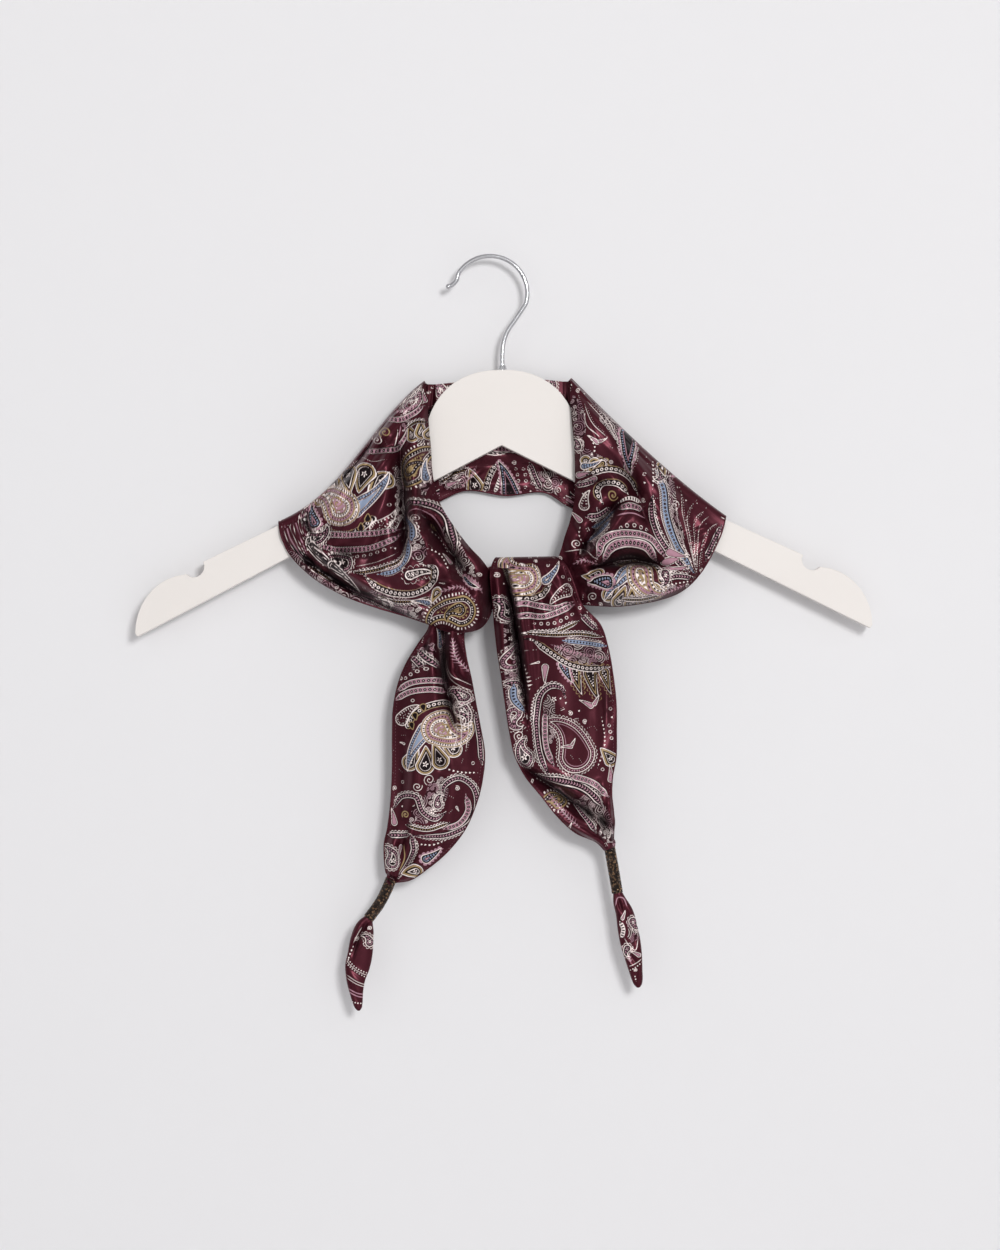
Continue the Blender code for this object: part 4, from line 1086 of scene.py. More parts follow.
rightWing = {
    "name": "right_wing_cloth",
    "nodes": ["scarf_right_wing"],
    "paintedShadeReach": 13, "paintedShadeDepth": 3.6,  # painted shade in the hollows: grid steps, millimetres
    "spacing": 0.54, "backSpacing": 1.8, "columns": 191, "wrinkles": 0.38,
    "foldRib": 6, "frontFrom": 8,
    "ribs": (
        ("back seam", 43.8, -73.3, 8.3, 45.8, -147.5, 8.3, 0, 0, 0, 0, 0),
        ("back low", 47, -73.3, 7.2, 69, -158, 9.5, 0, 0, 0, 0, 0),
        ("back middle", 47.5, -73, 5.5, 97, -167, 10, 0, 0, 0, 0, 0),
        ("back outer", 48, -72.5, 3.8, 126, -174, 9.5, 0, 0, 0, 0, 0),
        ("back end", 48, -72.5, 2.8, 138, -164, 8.4, 0, 0, 0, 0, 0),
        ("arm back edge", 48, -72.5, 1.6, 140.6, -155.8, 7.0, -1, -2, 0, 0, 0),
        ("arm top", 48.5, -72, 0, 141, -154.8, 0, -1, -2, 0, 0, 0),
        ("arm front edge", 48, -72.5, -1.6, 140.6, -155.8, -7.0, -1, -2, 0, 0, 0),
        ("front end", 48, -73, -3.4, 139, -162.5, -8.6, -1, -1.5, 2, 1, 0),
        ("front outer", 48.5, -76.5, -5.5, 134, -174.5, -10.5, 0, 0, 4, 3, -1),
        ("shoulder", 48, -84, -7.8, 128.5, -184.5, -12.5, 0, 0, 5, 5, -2),
        ("breast outer", 49, -97, -9, 122, -193, -14, 0, 0, 6, 7, -3),
        ("breast", 50.5, -113, -9.5, 113.5, -200, -15, 0, 0, 6, 8, -4),
        ("breast middle", 51, -130, -10, 102, -204.5, -16, 0, 0, 5, 8, -5),
        ("breast inner", 50.5, -146, -11, 90, -207, -17, 0, 0, 4, 7, -5),
        ("neck low", 48, -157.5, -12, 78, -208.5, -17, 0, 0, 3, 6, -5),
        ("band outer", 44.5, -168.5, -12, 69.5, -208.5, -15, 0, 0, 2, 4, -4),
        ("band", 42.5, -175, -11, 60, -208, -11.6, 0, 0, 0, 0.5, 0),
        ("tuck", 40, -182, -9.5, 54, -207.5, -10, 0, 0, 0, 0.5, 0),
    ),
    "creases": (
        ("pocket", 56, -188, 104, -185, 4, -13.5, 4.4, 4.0),
        ("pocket's end", 74, -179, 96, -184, 2, -5.0, 4, 3),
        ("lip over the pocket", 62, -174, 106, -177, 7, 5.6, 5.4, 3.4),
        ("lower roll", 56, -199, 120, -193, -4, 6.4, 6.0, 7),
        ("shaded fold", 82, -142, 52, -180, -1, -7.5, 3.2, 4.4),
        ("beside the shaded fold", 88, -144, 66, -174, -2, 3.2, 3.4, 4.4),
        ("long valley", 72, -104, 99, -178, 1, -5.0, 3.4, 5),
        ("neck ridge", 57, -88, 60, -156, 0, 4.0, 7, 8),
        ("outer ridge", 90, -106, 108, -168, 0, 4.4, 9, 8),
        ("hollow at the shoulder", 66, -86, 122, -146, 0, -2.8, 6, 6),
        ("to the hem", 104, -144, 124, -190, 1, -3.0, 4, 4),
        ("second to the hem", 118, -150, 127, -186, 1, -1.8, 3, 3.6),
        ("neck fold", 50, -160, 62, -190, 1, -4.0, 3.0, 3.4),
        ("low knot pucker", 54, -201, 80, -197, 0, -2.4, 2.0, 2.8),
        ("small neck fold", 49, -122, 66, -132, 0, 1.8, 2, 3),
        ("across the neck", 50, -134, 74, -138, 1, -3.0, 3, 3.4),
        ("over the band", 86, -158, 104, -170, 1, 1.8, 3, 3),
    ),
    "fans": (
        (46, -190, -14, 66, 11, 44, 1.5), (49, -76, -70, -26, 6, 44, 1.1), (136, -160, 196, 236, 5, 40, 0.9),
        (122, -190, 108, 170, 6, 38, 0.8),
    ),
    "backCreases": (
        ("back ridge", 54, -90, 104, -164, -3, 1.4, 8, 8),
        ("back valley", 52, -100, 78, -158, -2, -1.0, 5, 5),
        ("back end", 70, -94, 128, -164, 2, 1.0, 5, 4),
    ),
    "print": (
        ("lace", (66, -90), (78, -104), (85, -122)), ("narrowLace", (53, -116), (62, -122), (74, -127)),
        ("narrowLace", (62, -150), (66, -160), (60, -174)), ("narrowLace", (106, -128), (108, -150), (114, -174)),
        ("narrowLace", (64, -196), (84, -202), (110, -197)), ("narrowLace", (50, -84), (53, -98), (54, -110)),
        ("feather", (56, -88), (60, -99), (70, -109)), ("feather", (57.6, -86.6), (66, -96), (76.6, -112)),
        ("feather", (62, -87.4), (71, -99), (79, -116)), ("plainLine", (56, -92), (57.6, -101), (66, -109)),
        ("ringRow", (51, -88), (50.6, -96), (52, -104)), ("curl", 54, -112, 2.8, 0), ("smallLace", 52.4, -114, 7, 0, False),
        ("laceBand", (76, -101), (80, -110), (81.6, -122), (80, -131)), ("flameLeaf", 83, -106, 24, 176, False),
        ("feather", (86.6, -110), (87, -120), (84, -131)), ("bird", 63.6, -111.6, 7, -10, False),
        ("dashRow", (59, -107), (62, -117), (58, -121)),
        ("eyeLobe", 57, -122.4, 6.5, 176, False), ("eyeLobe", 62, -124, 6.5, 150, False), ("goldFlame", 66.6, -124.4, 8, 120, False),
        ("spear", 56, -125.6, 11, -84, False), ("petal", 53, -130.6, 9, -80, False), ("petal", 62, -132.6, 8, 104, False),
        ("laceBand", (51, -137), (57, -136.4), (62, -134.4)), ("floret", 56, -142.6, 1.8, 0),
        ("ringBand", (57.6, -130.6), (66, -127.8), (76, -128.8), (84.6, -134.6), (88, -143)),
        ("ringBand", (65, -147), (62.6, -140.6), (67, -135.6), (75, -136.4), (81, -142.6)), ("goldCurl", 71.6, -142.4, 3.0, 120),
        ("dropLeaf", 55.4, -148.4, 9, -8, True),
        ("ladder", (75.5, -147), (82, -145.4), (89.5, -147)), ("beadBand", (76.5, -151.6), (82.5, -149.8), (90.5, -151.4)),
        ("pinkLine", (75.5, -156), (82.5, -153.6), (92, -156)), ("ringRow", (76, -162), (83, -159.6), (94, -162.5)),
        ("beadBand", (67, -181), (70.6, -172), (80, -167.4), (92, -170), (99.6, -181)),
        ("beadBand", (63.5, -179), (67.6, -169), (80, -163.6), (95, -167), (103.5, -178)),
        ("blueBand", (74, -152), (67, -157.6), (59.6, -160)), ("laceBand", (70, -149), (62, -153.6), (56, -154.6)),
        ("blueBand", (72, -158), (66, -164), (58.6, -169)), ("petal", 52.6, -157, 7, 40, False),
        ("curl", 50, -171, 2.6, 40), ("dashRow", (53, -160), (52, -166), (56, -172)),
        ("dashRow", (76, -177), (82, -174), (89, -176)), ("dropLeaf", 77, -182.6, 11, -80, False), ("plainLine", (70, -188), (80, -186), (92, -188)),
        ("plainLine", (44, -176), (56, -174.5), (66, -178)), ("leafRow", (50, -183), (58, -180), (66, -182)),
        ("wideBlueBand", (98.6, -128), (103, -140), (104, -153), (108.6, -169), (121, -188.6)),
        ("laceBand", (96.5, -143), (96.6, -155), (102, -170), (118.6, -189)),
        ("smallLace", 103, -127.6, 10, 176, True), ("dashRow", (97.5, -117), (97, -128), (96.5, -140)),
        ("curl", 110, -149, 3.2, 260), ("eyeLobe", 103, -124.6, 7, 190, False), ("petal", 109, -131, 7, -60, False),
        ("feather", (114, -139), (114.4, -150), (118, -168), (122, -188)),
        ("feather", (124, -144.6), (118.4, -152), (119.6, -170), (122.4, -188)),
        ("feather", (130, -150.5), (123, -156), (122, -172), (123, -188)),
        ("plainLine", (133, -153.6), (126.4, -159), (124, -173), (123.4, -188)),
        ("feather", (138, -158), (130.5, -163), (126.4, -174), (124.2, -188)),
        ("laceBand", (139, -160), (134.5, -168), (128.5, -181)),
        ("plainLine", (111, -144), (111.6, -156), (115, -172), (121.6, -188)),
        ("petal", 104, -181.4, 13, -76, False), ("petal", 106, -186.6, 13, -84, False), ("petal", 106, -176, 12, -110, False),
        ("laceBand", (102, -194), (110, -191.4), (120, -191.6)), ("dashRow", (100, -198), (110, -195.6), (120, -193.6)),
        ("palmette", 88, -194.6, 32, 172, False), ("eyeLobe", 64, -193, 9, 80, False), ("flameLeaf", 70, -197, 12, 75, False),
        ("curl", 61.5, -203.5, 2.8, 10),
        ("leafRow", (96, -203.5), (106, -200.5), (116, -196)), ("creamBand", (78, -205.4), (90, -205.2), (100, -202.5)),
        # the back, beyond the fold over the arm
        ("palmette", 124, -104, 40, 210, True), ("goldPaisley", 100, -82, 24, 130, True),
        ("lacePaisley", 150, -126, 26, -60, False), ("beadBand", (154, -110), (132, -92), (108, -76)),
        ("hornLeaf", 82, -58, 34, -40, False), ("lacePaisley", 132, -64, 24, 20, True),
        ("laceBand", (108, -50), (90, -40), (70, -34)), ("palmette", 100, -36, 34, -20, False),
    ),
}

neckBand = {
    "name": "neck_band_cloth",
    "nodes": ["scarf_neck_band"],
    "paintedShadeReach": 9, "paintedShadeDepth": 3.0,  # painted shade in the hollows: grid steps, millimetres
    "spacing": 0.58, "columns": 121, "wrinkles": 0.26,
    "ribs": (
        ("left seam", -32.8, -75, 8.3, -30.3, -145, 8.3, 0, 0, 0, 0, 0),
        ("left", -20, -73.8, 8.3, -17.5, -139.3, 8.3, 0, 0, 0, 0, 0),
        ("middle", 8, -72.5, 8.5, 10, -141.8, 8.5, 0, 0, 0, 0, 0),
        ("right", 32, -72.2, 8.3, 35, -140.6, 8.3, 0, 0, 0, 0, 0),
        ("right seam", 43.8, -73.3, 8.3, 45.8, -147.5, 8.3, 0, 0, 0, 0, 0),
    ),
    "creases": (
        ("lower edge", -26, -137, 40, -138, 2, 2.0, 3, 3),
        ("slack across", -28, -126, 42, -128, 3, -1.8, 3, 4),
        ("left slant", -28, -138, -8, -118, 1, 1.2, 2, 3),
        ("right slant", 42, -142, 22, -120, -1, 1.2, 3, 2),
    ),
    "fans": ((-30, -140, 10, 60, 4, 30, 0.7), (45, -144, 120, 170, 4, 30, 0.7)),
    "print": (
        ("lace", (-30, -134), (-20, -131), (-10, -130)), ("lace", (26, -134), (42, -134)),
        ("creamBand", (-30, -134), (-22, -129), (-14, -126)), ("petal", -25, -135.5, 8, -70, False),
        ("eyeLobe", -9, -136.5, 11, 15, False), ("ringBand", (-3, -141), (-1, -132), (4, -122)),
        ("ladder", (2.5, -141), (6, -132), (8, -122)), ("flameLeaf", 12.5, -141, 22, 14, False),
        ("ringRow", (17, -139), (17, -132), (15, -124)), ("ringRow", (21, -139), (21.5, -131), (19.5, -124)),
        ("laceBand", (31, -138.5), (27, -131), (24, -122)), ("feather", (38, -136), (34, -129), (30, -121)),
        ("curl", 41, -139, 2.4, 40), ("leafRow", (-18, -138), (-12, -131), (-8, -124)),
        ("lacePaisley", -29, -80, 12, 20, False), ("ringBand", (-26, -76), (-14, -76), (-4, -78)),
        ("smallLace", 36, -79, 11, -30, False), ("laceBand", (26, -76), (36, -78), (43, -84)),
        ("palmette", 4, -100, 40, 20, False), ("goldPaisley", -20, -106, 20, 40, False),
        ("lacePaisley", 30, -102, 22, -30, True), ("beadBand", (-30, -118), (0, -114), (42, -118)),
    ),
}

knotWrap = {
    "name": "knot_wrap_cloth",
    "nodes": ["scarf_knot_wrap"],
    "paintedShadeReach": 5, "paintedShadeDepth": 2.4,  # painted shade in the hollows: grid steps, millimetres
    "spacing": 0.6, "columns": 47, "wrinkles": 0.15,
    "ribs": (
        ("right seam", 39.6, -182, -9.3, 53.4, -207.6, -9.6, 0, 0, 0, 0, 0),
        ("under the fold", 26, -181.2, -8.8, 34, -208, -9.2, 0, 0, 0, 0, 0),
        ("middle", 10, -182.5, -8.6, 10, -209, -9, 0, 0, 0, 0, 0),
        ("behind the band", -10, -190, -9, -13, -214, -9.4, 0, 0, 0, 0, 0),
        ("left turn", -24, -203, -9.6, -26, -216, -9.8, 0, 0, 0, 0, 0),
    ),
    "creases": (("gather", 52, -196, 20, -194, 1, 1.0, 2, 2), ("low gather", 52, -203, 22, -201, 1, -0.9, 2, 2)),
    "fans": (),
    "print": (("smallLace", 46, -196, 12, 80, False), ("beadBand", (52, -204), (36, -203), (20, -205)),
              ("goldPaisley", 10, -196, 16, 90, False)),
}

leftTail = {
    "name": "left_tail_cloth",
    "nodes": ["scarf_left_tail"],
    "paintedShadeReach": 12, "paintedShadeDepth": 3.4,  # painted shade in the hollows: grid steps, millimetres
    "spacing": 0.42, "columns": 135, "wrinkles": 0.30, "lengthwise": True,
    "ribs": (
        ("hidden top", -35.5, -216.5, -10, -14, -217.5, -10, 0, 0, 1, 1, 0),
        ("below the band", -36, -221, -10, -15.5, -224, -10, 0, 0, 2, 2, 0),
        ("gather", -43, -232, -10, -14.5, -238, -10, 0, 0, 3, 3, 0),
        ("spread", -50, -243.5, -9.5, -11.5, -251.5, -10, 0, 0, 4, 4, 0),
        ("high", -54.5, -255, -9.5, -9, -265, -10, 0, 0, 4, 4, 0),
        ("upper", -57.5, -270, -9, -6, -281, -10, 0, 0, 4, 4, 0),
        ("widest", -58, -286, -9, -3.5, -296, -9, 0, 0, 4, 4, 0),
        ("lower", -58, -304, -9, -4.5, -310.5, -9, 0, 0, 4, 4, 0),
        ("narrowing", -59, -325, -8.5, -8.5, -327, -8.5, 0, 0, 4, 4, 0),
        ("low", -61, -341.5, -8, -16, -343.5, -8, 0, 0, 4, 4, 0),
        ("sweep", -63, -351, -7.5, -25.2, -355, -7.5, 0, 0, 3, 3, 0),
        ("point", -62.8, -361, -7.5, -36.8, -365, -7, 0, 0, 2, 2, 0),
        ("narrow point", -62, -367.5, -7, -48.5, -372.5, -7, 0, 0, 1.5, 1.5, 0),
        ("end", -61.2, -370.6, -7, -57.6, -374.2, -7, 0, 0, 0.5, 0.5, 0),
        ("into the sleeve", -62.2, -373.2, -7.6, -58.6, -375.4, -7.6, 0, 0, 2.6, 2.6, 0),
    ),
    "creases": (
        ("valley below the knot", -28.5, -208, -28, -256, 0, -9.5, 3.0, 3.4),
        ("valley end", -28.5, -234, -20, -284, -1, -9.0, 3.0, 4.2),
        ("lap over the valley", -34, -222, -31, -272, 1, 3.2, 3.4, 3.0),
        ("small sweep", -26, -244, -7, -259, -2, 2.4, 2.0, 2.0),
        ("second sweep", -25, -250, -7, -265, -2, -2.4, 2.0, 2.4),
        ("left ridge", -42, -228, -45, -336, 4, 4.2, 8, 9),
        ("right ridge", -16, -240, -13, -306, 0, 3.6, 5, 5),
        ("left hollow", -50, -290, -53, -344, 0, -3.0, 4, 5),
        ("long crease", -34, -276, -30, -344, 1, -1.8, 4, 6),
        ("gather", -49, -338, -58, -374, 1, -3.6, 1.9, 2.6),
        ("gather ridge", -45, -340, -55, -372, -2, 3.0, 2.6, 2.2),
        ("low gather", -38, -350, -55, -374, -2, -2.2, 2.2, 2.8),
        ("left gather", -57, -344, -59.5, -372, 0, 2.0, 1.8, 1.8),
        ("across the end", -36, -344, -22, -353, 0, -1.6, 3, 3),
        ("short crease", -38, -294, -24, -308, 0, -1.6, 2.8, 2.4),
    ),
    "fans": (
        (-27, -212, 225, 310, 9, 46, 1.3), (-60, -376, 35, 100, 8, 40, 1.1), (-8, -262, 165, 235, 4, 30, 0.7),
    ),
    "print": (
        ("narrowLace", (-38, -232), (-46, -246)),
        ("lace", (-29, -312), (-34, -326), (-46, -336)), ("narrowLace", (-30, -214), (-30, -238), (-24, -262)),
        ("spear", -32.4, -232, 14, 2, False), ("feather", (-25, -222), (-24.5, -238), (-20, -252)),
        ("leafRow", (-19, -228), (-17, -240), (-11, -249)), ("plainLine", (-22, -238), (-18, -250), (-9, -256.5)),
        ("plainLine", (-23, -243), (-18, -253.5), (-9, -259.5)), ("laceBand", (-44, -235), (-39, -242), (-34, -246)),
        ("laceBand", (-47, -239), (-42, -245)), ("ringRow", (-52, -253), (-46, -248.6), (-38, -245.4)),
        ("beadBand", (-56, -260), (-48, -254.8), (-38, -253.2), (-26.5, -255)),
        ("beadBand", (-57.5, -265.4), (-48, -260), (-38, -258.6), (-27, -260.6)),
        ("palmette", -31.5, -283, 41, 196, False), ("dropLeaf", -52.4, -276, 13, -34, True),
        ("feather", (-20, -262), (-18.6, -276), (-22.5, -297)), ("plainLine", (-16, -268), (-16, -282), (-18.5, -299)),
        ("feather", (-12, -268), (-12.5, -282), (-14.5, -296)), ("laceBand", (-8.5, -272), (-6, -288), (-5, -303)),
        ("petal", -10.5, -264, 9, 120, False), ("smallLace", -14, -262.5, 10, 40, False),
        ("dashRow", (-27, -305), (-18, -307.5), (-7, -308)), ("curl", -36, -312, 3.4, 30), ("curl", -43, -316, 2.8, 160),
        ("laceBand", (-58, -330), (-53, -322.6), (-44, -322), (-40, -331), (-33, -335.4), (-26, -331.6)),
        ("laceBand", (-27, -327), (-27, -316), (-19, -311), (-10.5, -316), (-8, -328), (-12, -338), (-22, -344),
         (-34, -346), (-46, -345.5)),
        ("beadBand", (-14.5, -321), (-13, -330), (-18, -338), (-28, -341.5)),
        ("laceBand", (-46.5, -345), (-45, -353), (-48, -362), (-54, -371)), ("laceBand", (-61, -345.5), (-54, -345), (-47, -345)),
        ("smallLace", -31, -327, 8, 10, True), ("creamBand", (-50, -339), (-38, -341.6), (-24, -337.6)),
        ("goldCurl", -50, -333, 2.4, 0), ("petal", -57, -338, 9, 10, False),
        ("dashRow", (-44, -350), (-34, -351), (-26, -348)), ("flameLeaf", -38, -359.5, 11, -60, False),
        ("smallLace", -59, -361, 12, -8, False), ("goldLine", (-51, -350), (-50, -358), (-54, -367)),
        ("eyeLobe", -44, -367, 8, 100, False), ("floret", -34, -331, 2.0, 0), ("petal", -54, -352, 7, 170, False),
    ),
}

rightTail = {
    "name": "right_tail_cloth",
    "nodes": ["scarf_right_tail"],
    "paintedShadeReach": 15, "paintedShadeDepth": 3.4,  # painted shade in the hollows: grid steps, millimetres
    "spacing": 0.46, "backSpacing": 1.2, "columns": 151, "wrinkles": 0.30, "lengthwise": True,
    "foldRib": 2, "frontFrom": 3,
    "ribs": (
        ("back leg", 8, -202.5, -1.6, 42, -203, -1.6, 0, 0, 0, 0, 0),
        ("back leg top", 5.5, -187, -1.6, 38, -187, -1.6, 0, 0, 0, 0, 0),
        ("over the wrap", 4, -180, -8.5, 37.5, -179.5, -8.5, 0, 0, 0, 0, 0),
        ("fold", 0.8, -187, -17, 45, -184.5, -16.5, 0, 0, 1, 1, 0),
        ("fold low", 0.8, -196, -18, 50, -196, -17.8, 0, 0, 2, 2, 0),
        ("hem of the wing", 2, -207.5, -17.5, 54, -207, -18, 0, 0, 3, 3, 0),
        ("flare", 3, -220.5, -16, 65.5, -220, -16, 0, 0, 4, 4, 0),
        ("high", 4.6, -235, -14.5, 70, -233, -13.5, 0, 0, 4, 4, 0),
        ("upper", 7.3, -252, -13.5, 73, -249, -12, 0, 0, 4, 4, 0),
        ("middle", 9.8, -270, -12.5, 75, -267, -11.5, 0, 0, 4, 4, 0),
        ("lower", 12.2, -285, -11.5, 75.2, -283.5, -11, 0, 0, 4, 4, 0),
        ("sweep", 15.5, -299, -11, 75, -299, -10.5, 0, 0, 4, 4, 0),
        ("low", 21.5, -310.5, -10.5, 73, -310.5, -10, 0, 0, 3, 3, 0),
        ("narrowing", 30.5, -321.5, -10, 72.5, -321, -10, 0, 0, 3, 3, 0),
        ("point", 41, -334.5, -9.5, 73.5, -331, -9.5, 0, 0, 2, 2, 0),
        ("narrow point", 51.5, -344, -9, 74.2, -339.5, -9, 0, 0, 2, 2, 0),
        ("end", 63.8, -349.6, -8.6, 73.6, -346.3, -8.6, 0, 0, 2.6, 2.6, 0),
        ("into the sleeve", 68.6, -354.4, -10, 73.4, -352.6, -10, 0, 0, 1.8, 1.8, 0),
    ),
    "creases": (
        ("deep pleat", 6.6, -172, 22.6, -276, 1.6, -11.0, 1.7, 3.6),
        ("edge strip", 4.0, -188, 9.5, -266, 0, 2.4, 2.4, 2.4),
        ("lap beside it", 16, -182, 27, -260, 1.6, 3.4, 2.6, 4.4),
        ("sweep valley", 14, -300, 82, -347, -1, -9.5, 2.8, 3.4),
        ("sweep roll", 20, -314, 64, -348, -3, 4.2, 2.8, 4.2),
        ("over the sweep", 28, -300, 74, -328, -3, 3.0, 4.0, 2.6),
        ("middle ridge", 38, -200, 46, -306, 0, 4.6, 12, 12),
        ("right valley", 57, -206, 68, -272, 0, -3.6, 5, 5),
        ("fold gather", 27, -182, 37, -214, 0, -2.0, 2.4, 3.4),
        ("fold gather right", 43, -184, 53, -216, 0, -3.0, 2.2, 3.0),
        ("side crease", 71, -238, 66, -298, 1, -1.8, 3, 3),
        ("slant crease", 22, -262, 44, -286, 1, -1.8, 4, 5),
        ("end gather", 65, -314, 70, -349, 0, -2.8, 1.9, 1.9),
        ("second gather", 60, -322, 69, -349, -1, 2.4, 1.8, 1.8),
        ("third gather", 71, -318, 71.5, -348, 0, 2.0, 1.6, 1.6),
        ("roll gather", 48, -329, 69, -351, 1, -2.6, 1.4, 1.7),
        ("low roll gather", 42, -337, 67, -352, 0, -1.8, 1.3, 1.5),
        ("low hollow", 18, -280, 28, -306, 0, -1.8, 3, 4),
    ),
    "fans": (
        (26, -176, 240, 318, 9, 50, 1.2), (71, -352, 92, 158, 9, 44, 1.1), (74, -226, 200, 250, 4, 40, 0.8),
    ),
    "print": (
        ("creamSpiral", 20.2, -192.6, 27, 62, True), ("spear", 33.5, -193.5, 14, -46, False),
        ("ringBand", (14, -201.4), (22, -204.4), (30, -202.6), (36, -196)), ("dropLeaf", 45.5, -199.5, 13, 117, False),
        ("beadBand", (17, -205.4), (28, -208.4), (39, -210), (49, -206.4)), ("beadBand", (18, -212.8), (31, -215), (50, -208)),
        ("ringRow", (25, -219), (39, -218.6), (51, -212.4)), ("creamBand", (22, -224.4), (38, -224), (53, -217.6)),
        ("goldFlame", 50, -247.3, 15, 193, False), ("goldFlame", 59.3, -248.8, 17, 193, False),
        ("goldFlame", 68.5, -248.4, 14, 195, False), ("flameLeaf", 43.5, -243.5, 12, 200, False),
        ("lace", (40, -234), (54, -237), (70, -239)), ("narrowLace", (5, -206), (8.5, -240), (14, -276)),
        ("narrowLace", (34, -314), (50, -324), (66, -340)), ("narrowLace", (35, -262), (36, -290)),
        ("lace", (57, -321), (67, -334), (71, -349)),
        ("leafRow", (36, -231.4), (53, -237.2), (70, -239.4)),
        ("ringBand", (25, -227.6), (37, -237), (47.4, -243.4), (59.3, -246), (72, -244.6)),
        ("creamBand", (24, -224.6), (38.8, -225.6), (54.2, -225.2), (68, -227)),
        ("blueBand", (43, -229.2), (56, -230.6), (70, -232.4)), ("laceBand", (54, -214), (59, -219), (64, -222.4)),
        ("petal", 33, -245, 10, 175, False), ("dashRow", (24.5, -240), (26, -249), (26.5, -258)),
        ("smallLace", 5.5, -214, 14, 8, False), ("floret", 6.5, -229, 1.6, 0), ("lacePaisley", 8.5, -242, 17, -8, True),
        ("smallLace", 14.5, -261, 12, 20, False), ("lacePaisley", 13.5, -273, 13, 160, False),
        ("curl", 17, -286, 3.0, 20), ("blueBand", (10.5, -256), (12, -264), (19, -272)),
        ("nightPaisley", 51.5, -296.5, 31, 14, False), ("bird", 48, -292, 6, 30, False),
        ("laceBand", (37, -308), (31, -299), (28.2, -287), (28.4, -270), (32, -259), (37.1, -256), (43, -258), (44.5, -263)),
        ("beadBand", (38.5, -303), (34, -294), (32.6, -283), (33, -270)),
        ("petal", 60, -268, 8, 60, False), ("petal", 62, -267, 6, -30, False), ("floret", 38, -264, 1.8, 20),
        ("dashRow", (66, -274), (68.5, -290), (64, -305)), ("eyeLobe", 72, -300, 9, 40, False), ("ringRow", (71, -278), (73, -290)),
        ("smallLace", 21.5, -299, 14, 40, True), ("laceBand", (24, -308), (42, -310), (58, -316.5), (69, -328)),
        ("beadBand", (48, -308.5), (62, -314), (71, -322)), ("curl", 54, -323.5, 2.6, 0),
        ("flameLeaf", 42, -318, 12, 230, False), ("dashRow", (24, -312), (36, -317), (46, -325)),
        ("laceBand", (49, -326), (54, -335), (62, -345)), ("feather", (55, -326), (60, -334), (66, -345)),
        ("goldPaisley", 40, -327, 12, 60, False), ("plainLine", (60, -324), (65, -333), (69, -346)),
        ("leafRow", (32, -322), (42, -333), (52, -342)), ("petal", 72, -312, 9, 0, False),
        # over the wrap and behind it
        ("palmette", 22, -160, 30, 0, False), ("laceBand", (4, -172), (22, -170), (42, -172)),
    ),
}

sheets = [leftWing, rightWing, neckBand, knotWrap, leftTail, rightTail]
sewn = {sheet["name"]: sewCloth(sheet) for sheet in sheets}
print("cloth is sewn")


# Geometry Nodes for what repeats: the hems' stitches and the sleeves' beads

def newGeometryTree(name, inputs):
    tree = bpy.data.node_groups.new(name, "GeometryNodeTree")
    tree.interface.new_socket("Geometry", in_out="INPUT", socket_type="NodeSocketGeometry")
    for label, kind in inputs:
        tree.interface.new_socket(label, in_out="INPUT", socket_type="NodeSocket" + kind)
    tree.interface.new_socket("Geometry", in_out="OUTPUT", socket_type="NodeSocketGeometry")
    return tree, tree.nodes.new("NodeGroupInput").outputs, tree.nodes.new("NodeGroupOutput").inputs


def runTree(name, tree, path, values):
    # Runs a tree on a polyline (x, y, z in millimetres) and gives the result as a plain mesh
    edges = [(i, i + 1) for i in range(len(path) - 1)]
    draft = bpy.data.objects.new(name, meshOf(name, path, edges=edges))
    bpy.context.scene.collection.objects.link(draft)
    modifier = draft.modifiers.new(tree.name, "NODES")
    modifier.node_group = tree
    identifiers = {s.name: s.identifier for s in tree.interface.items_tree if s.in_out == "INPUT"}
    for label, value in values.items():
        modifier[identifiers[label]] = value
    return bakeDown(draft)


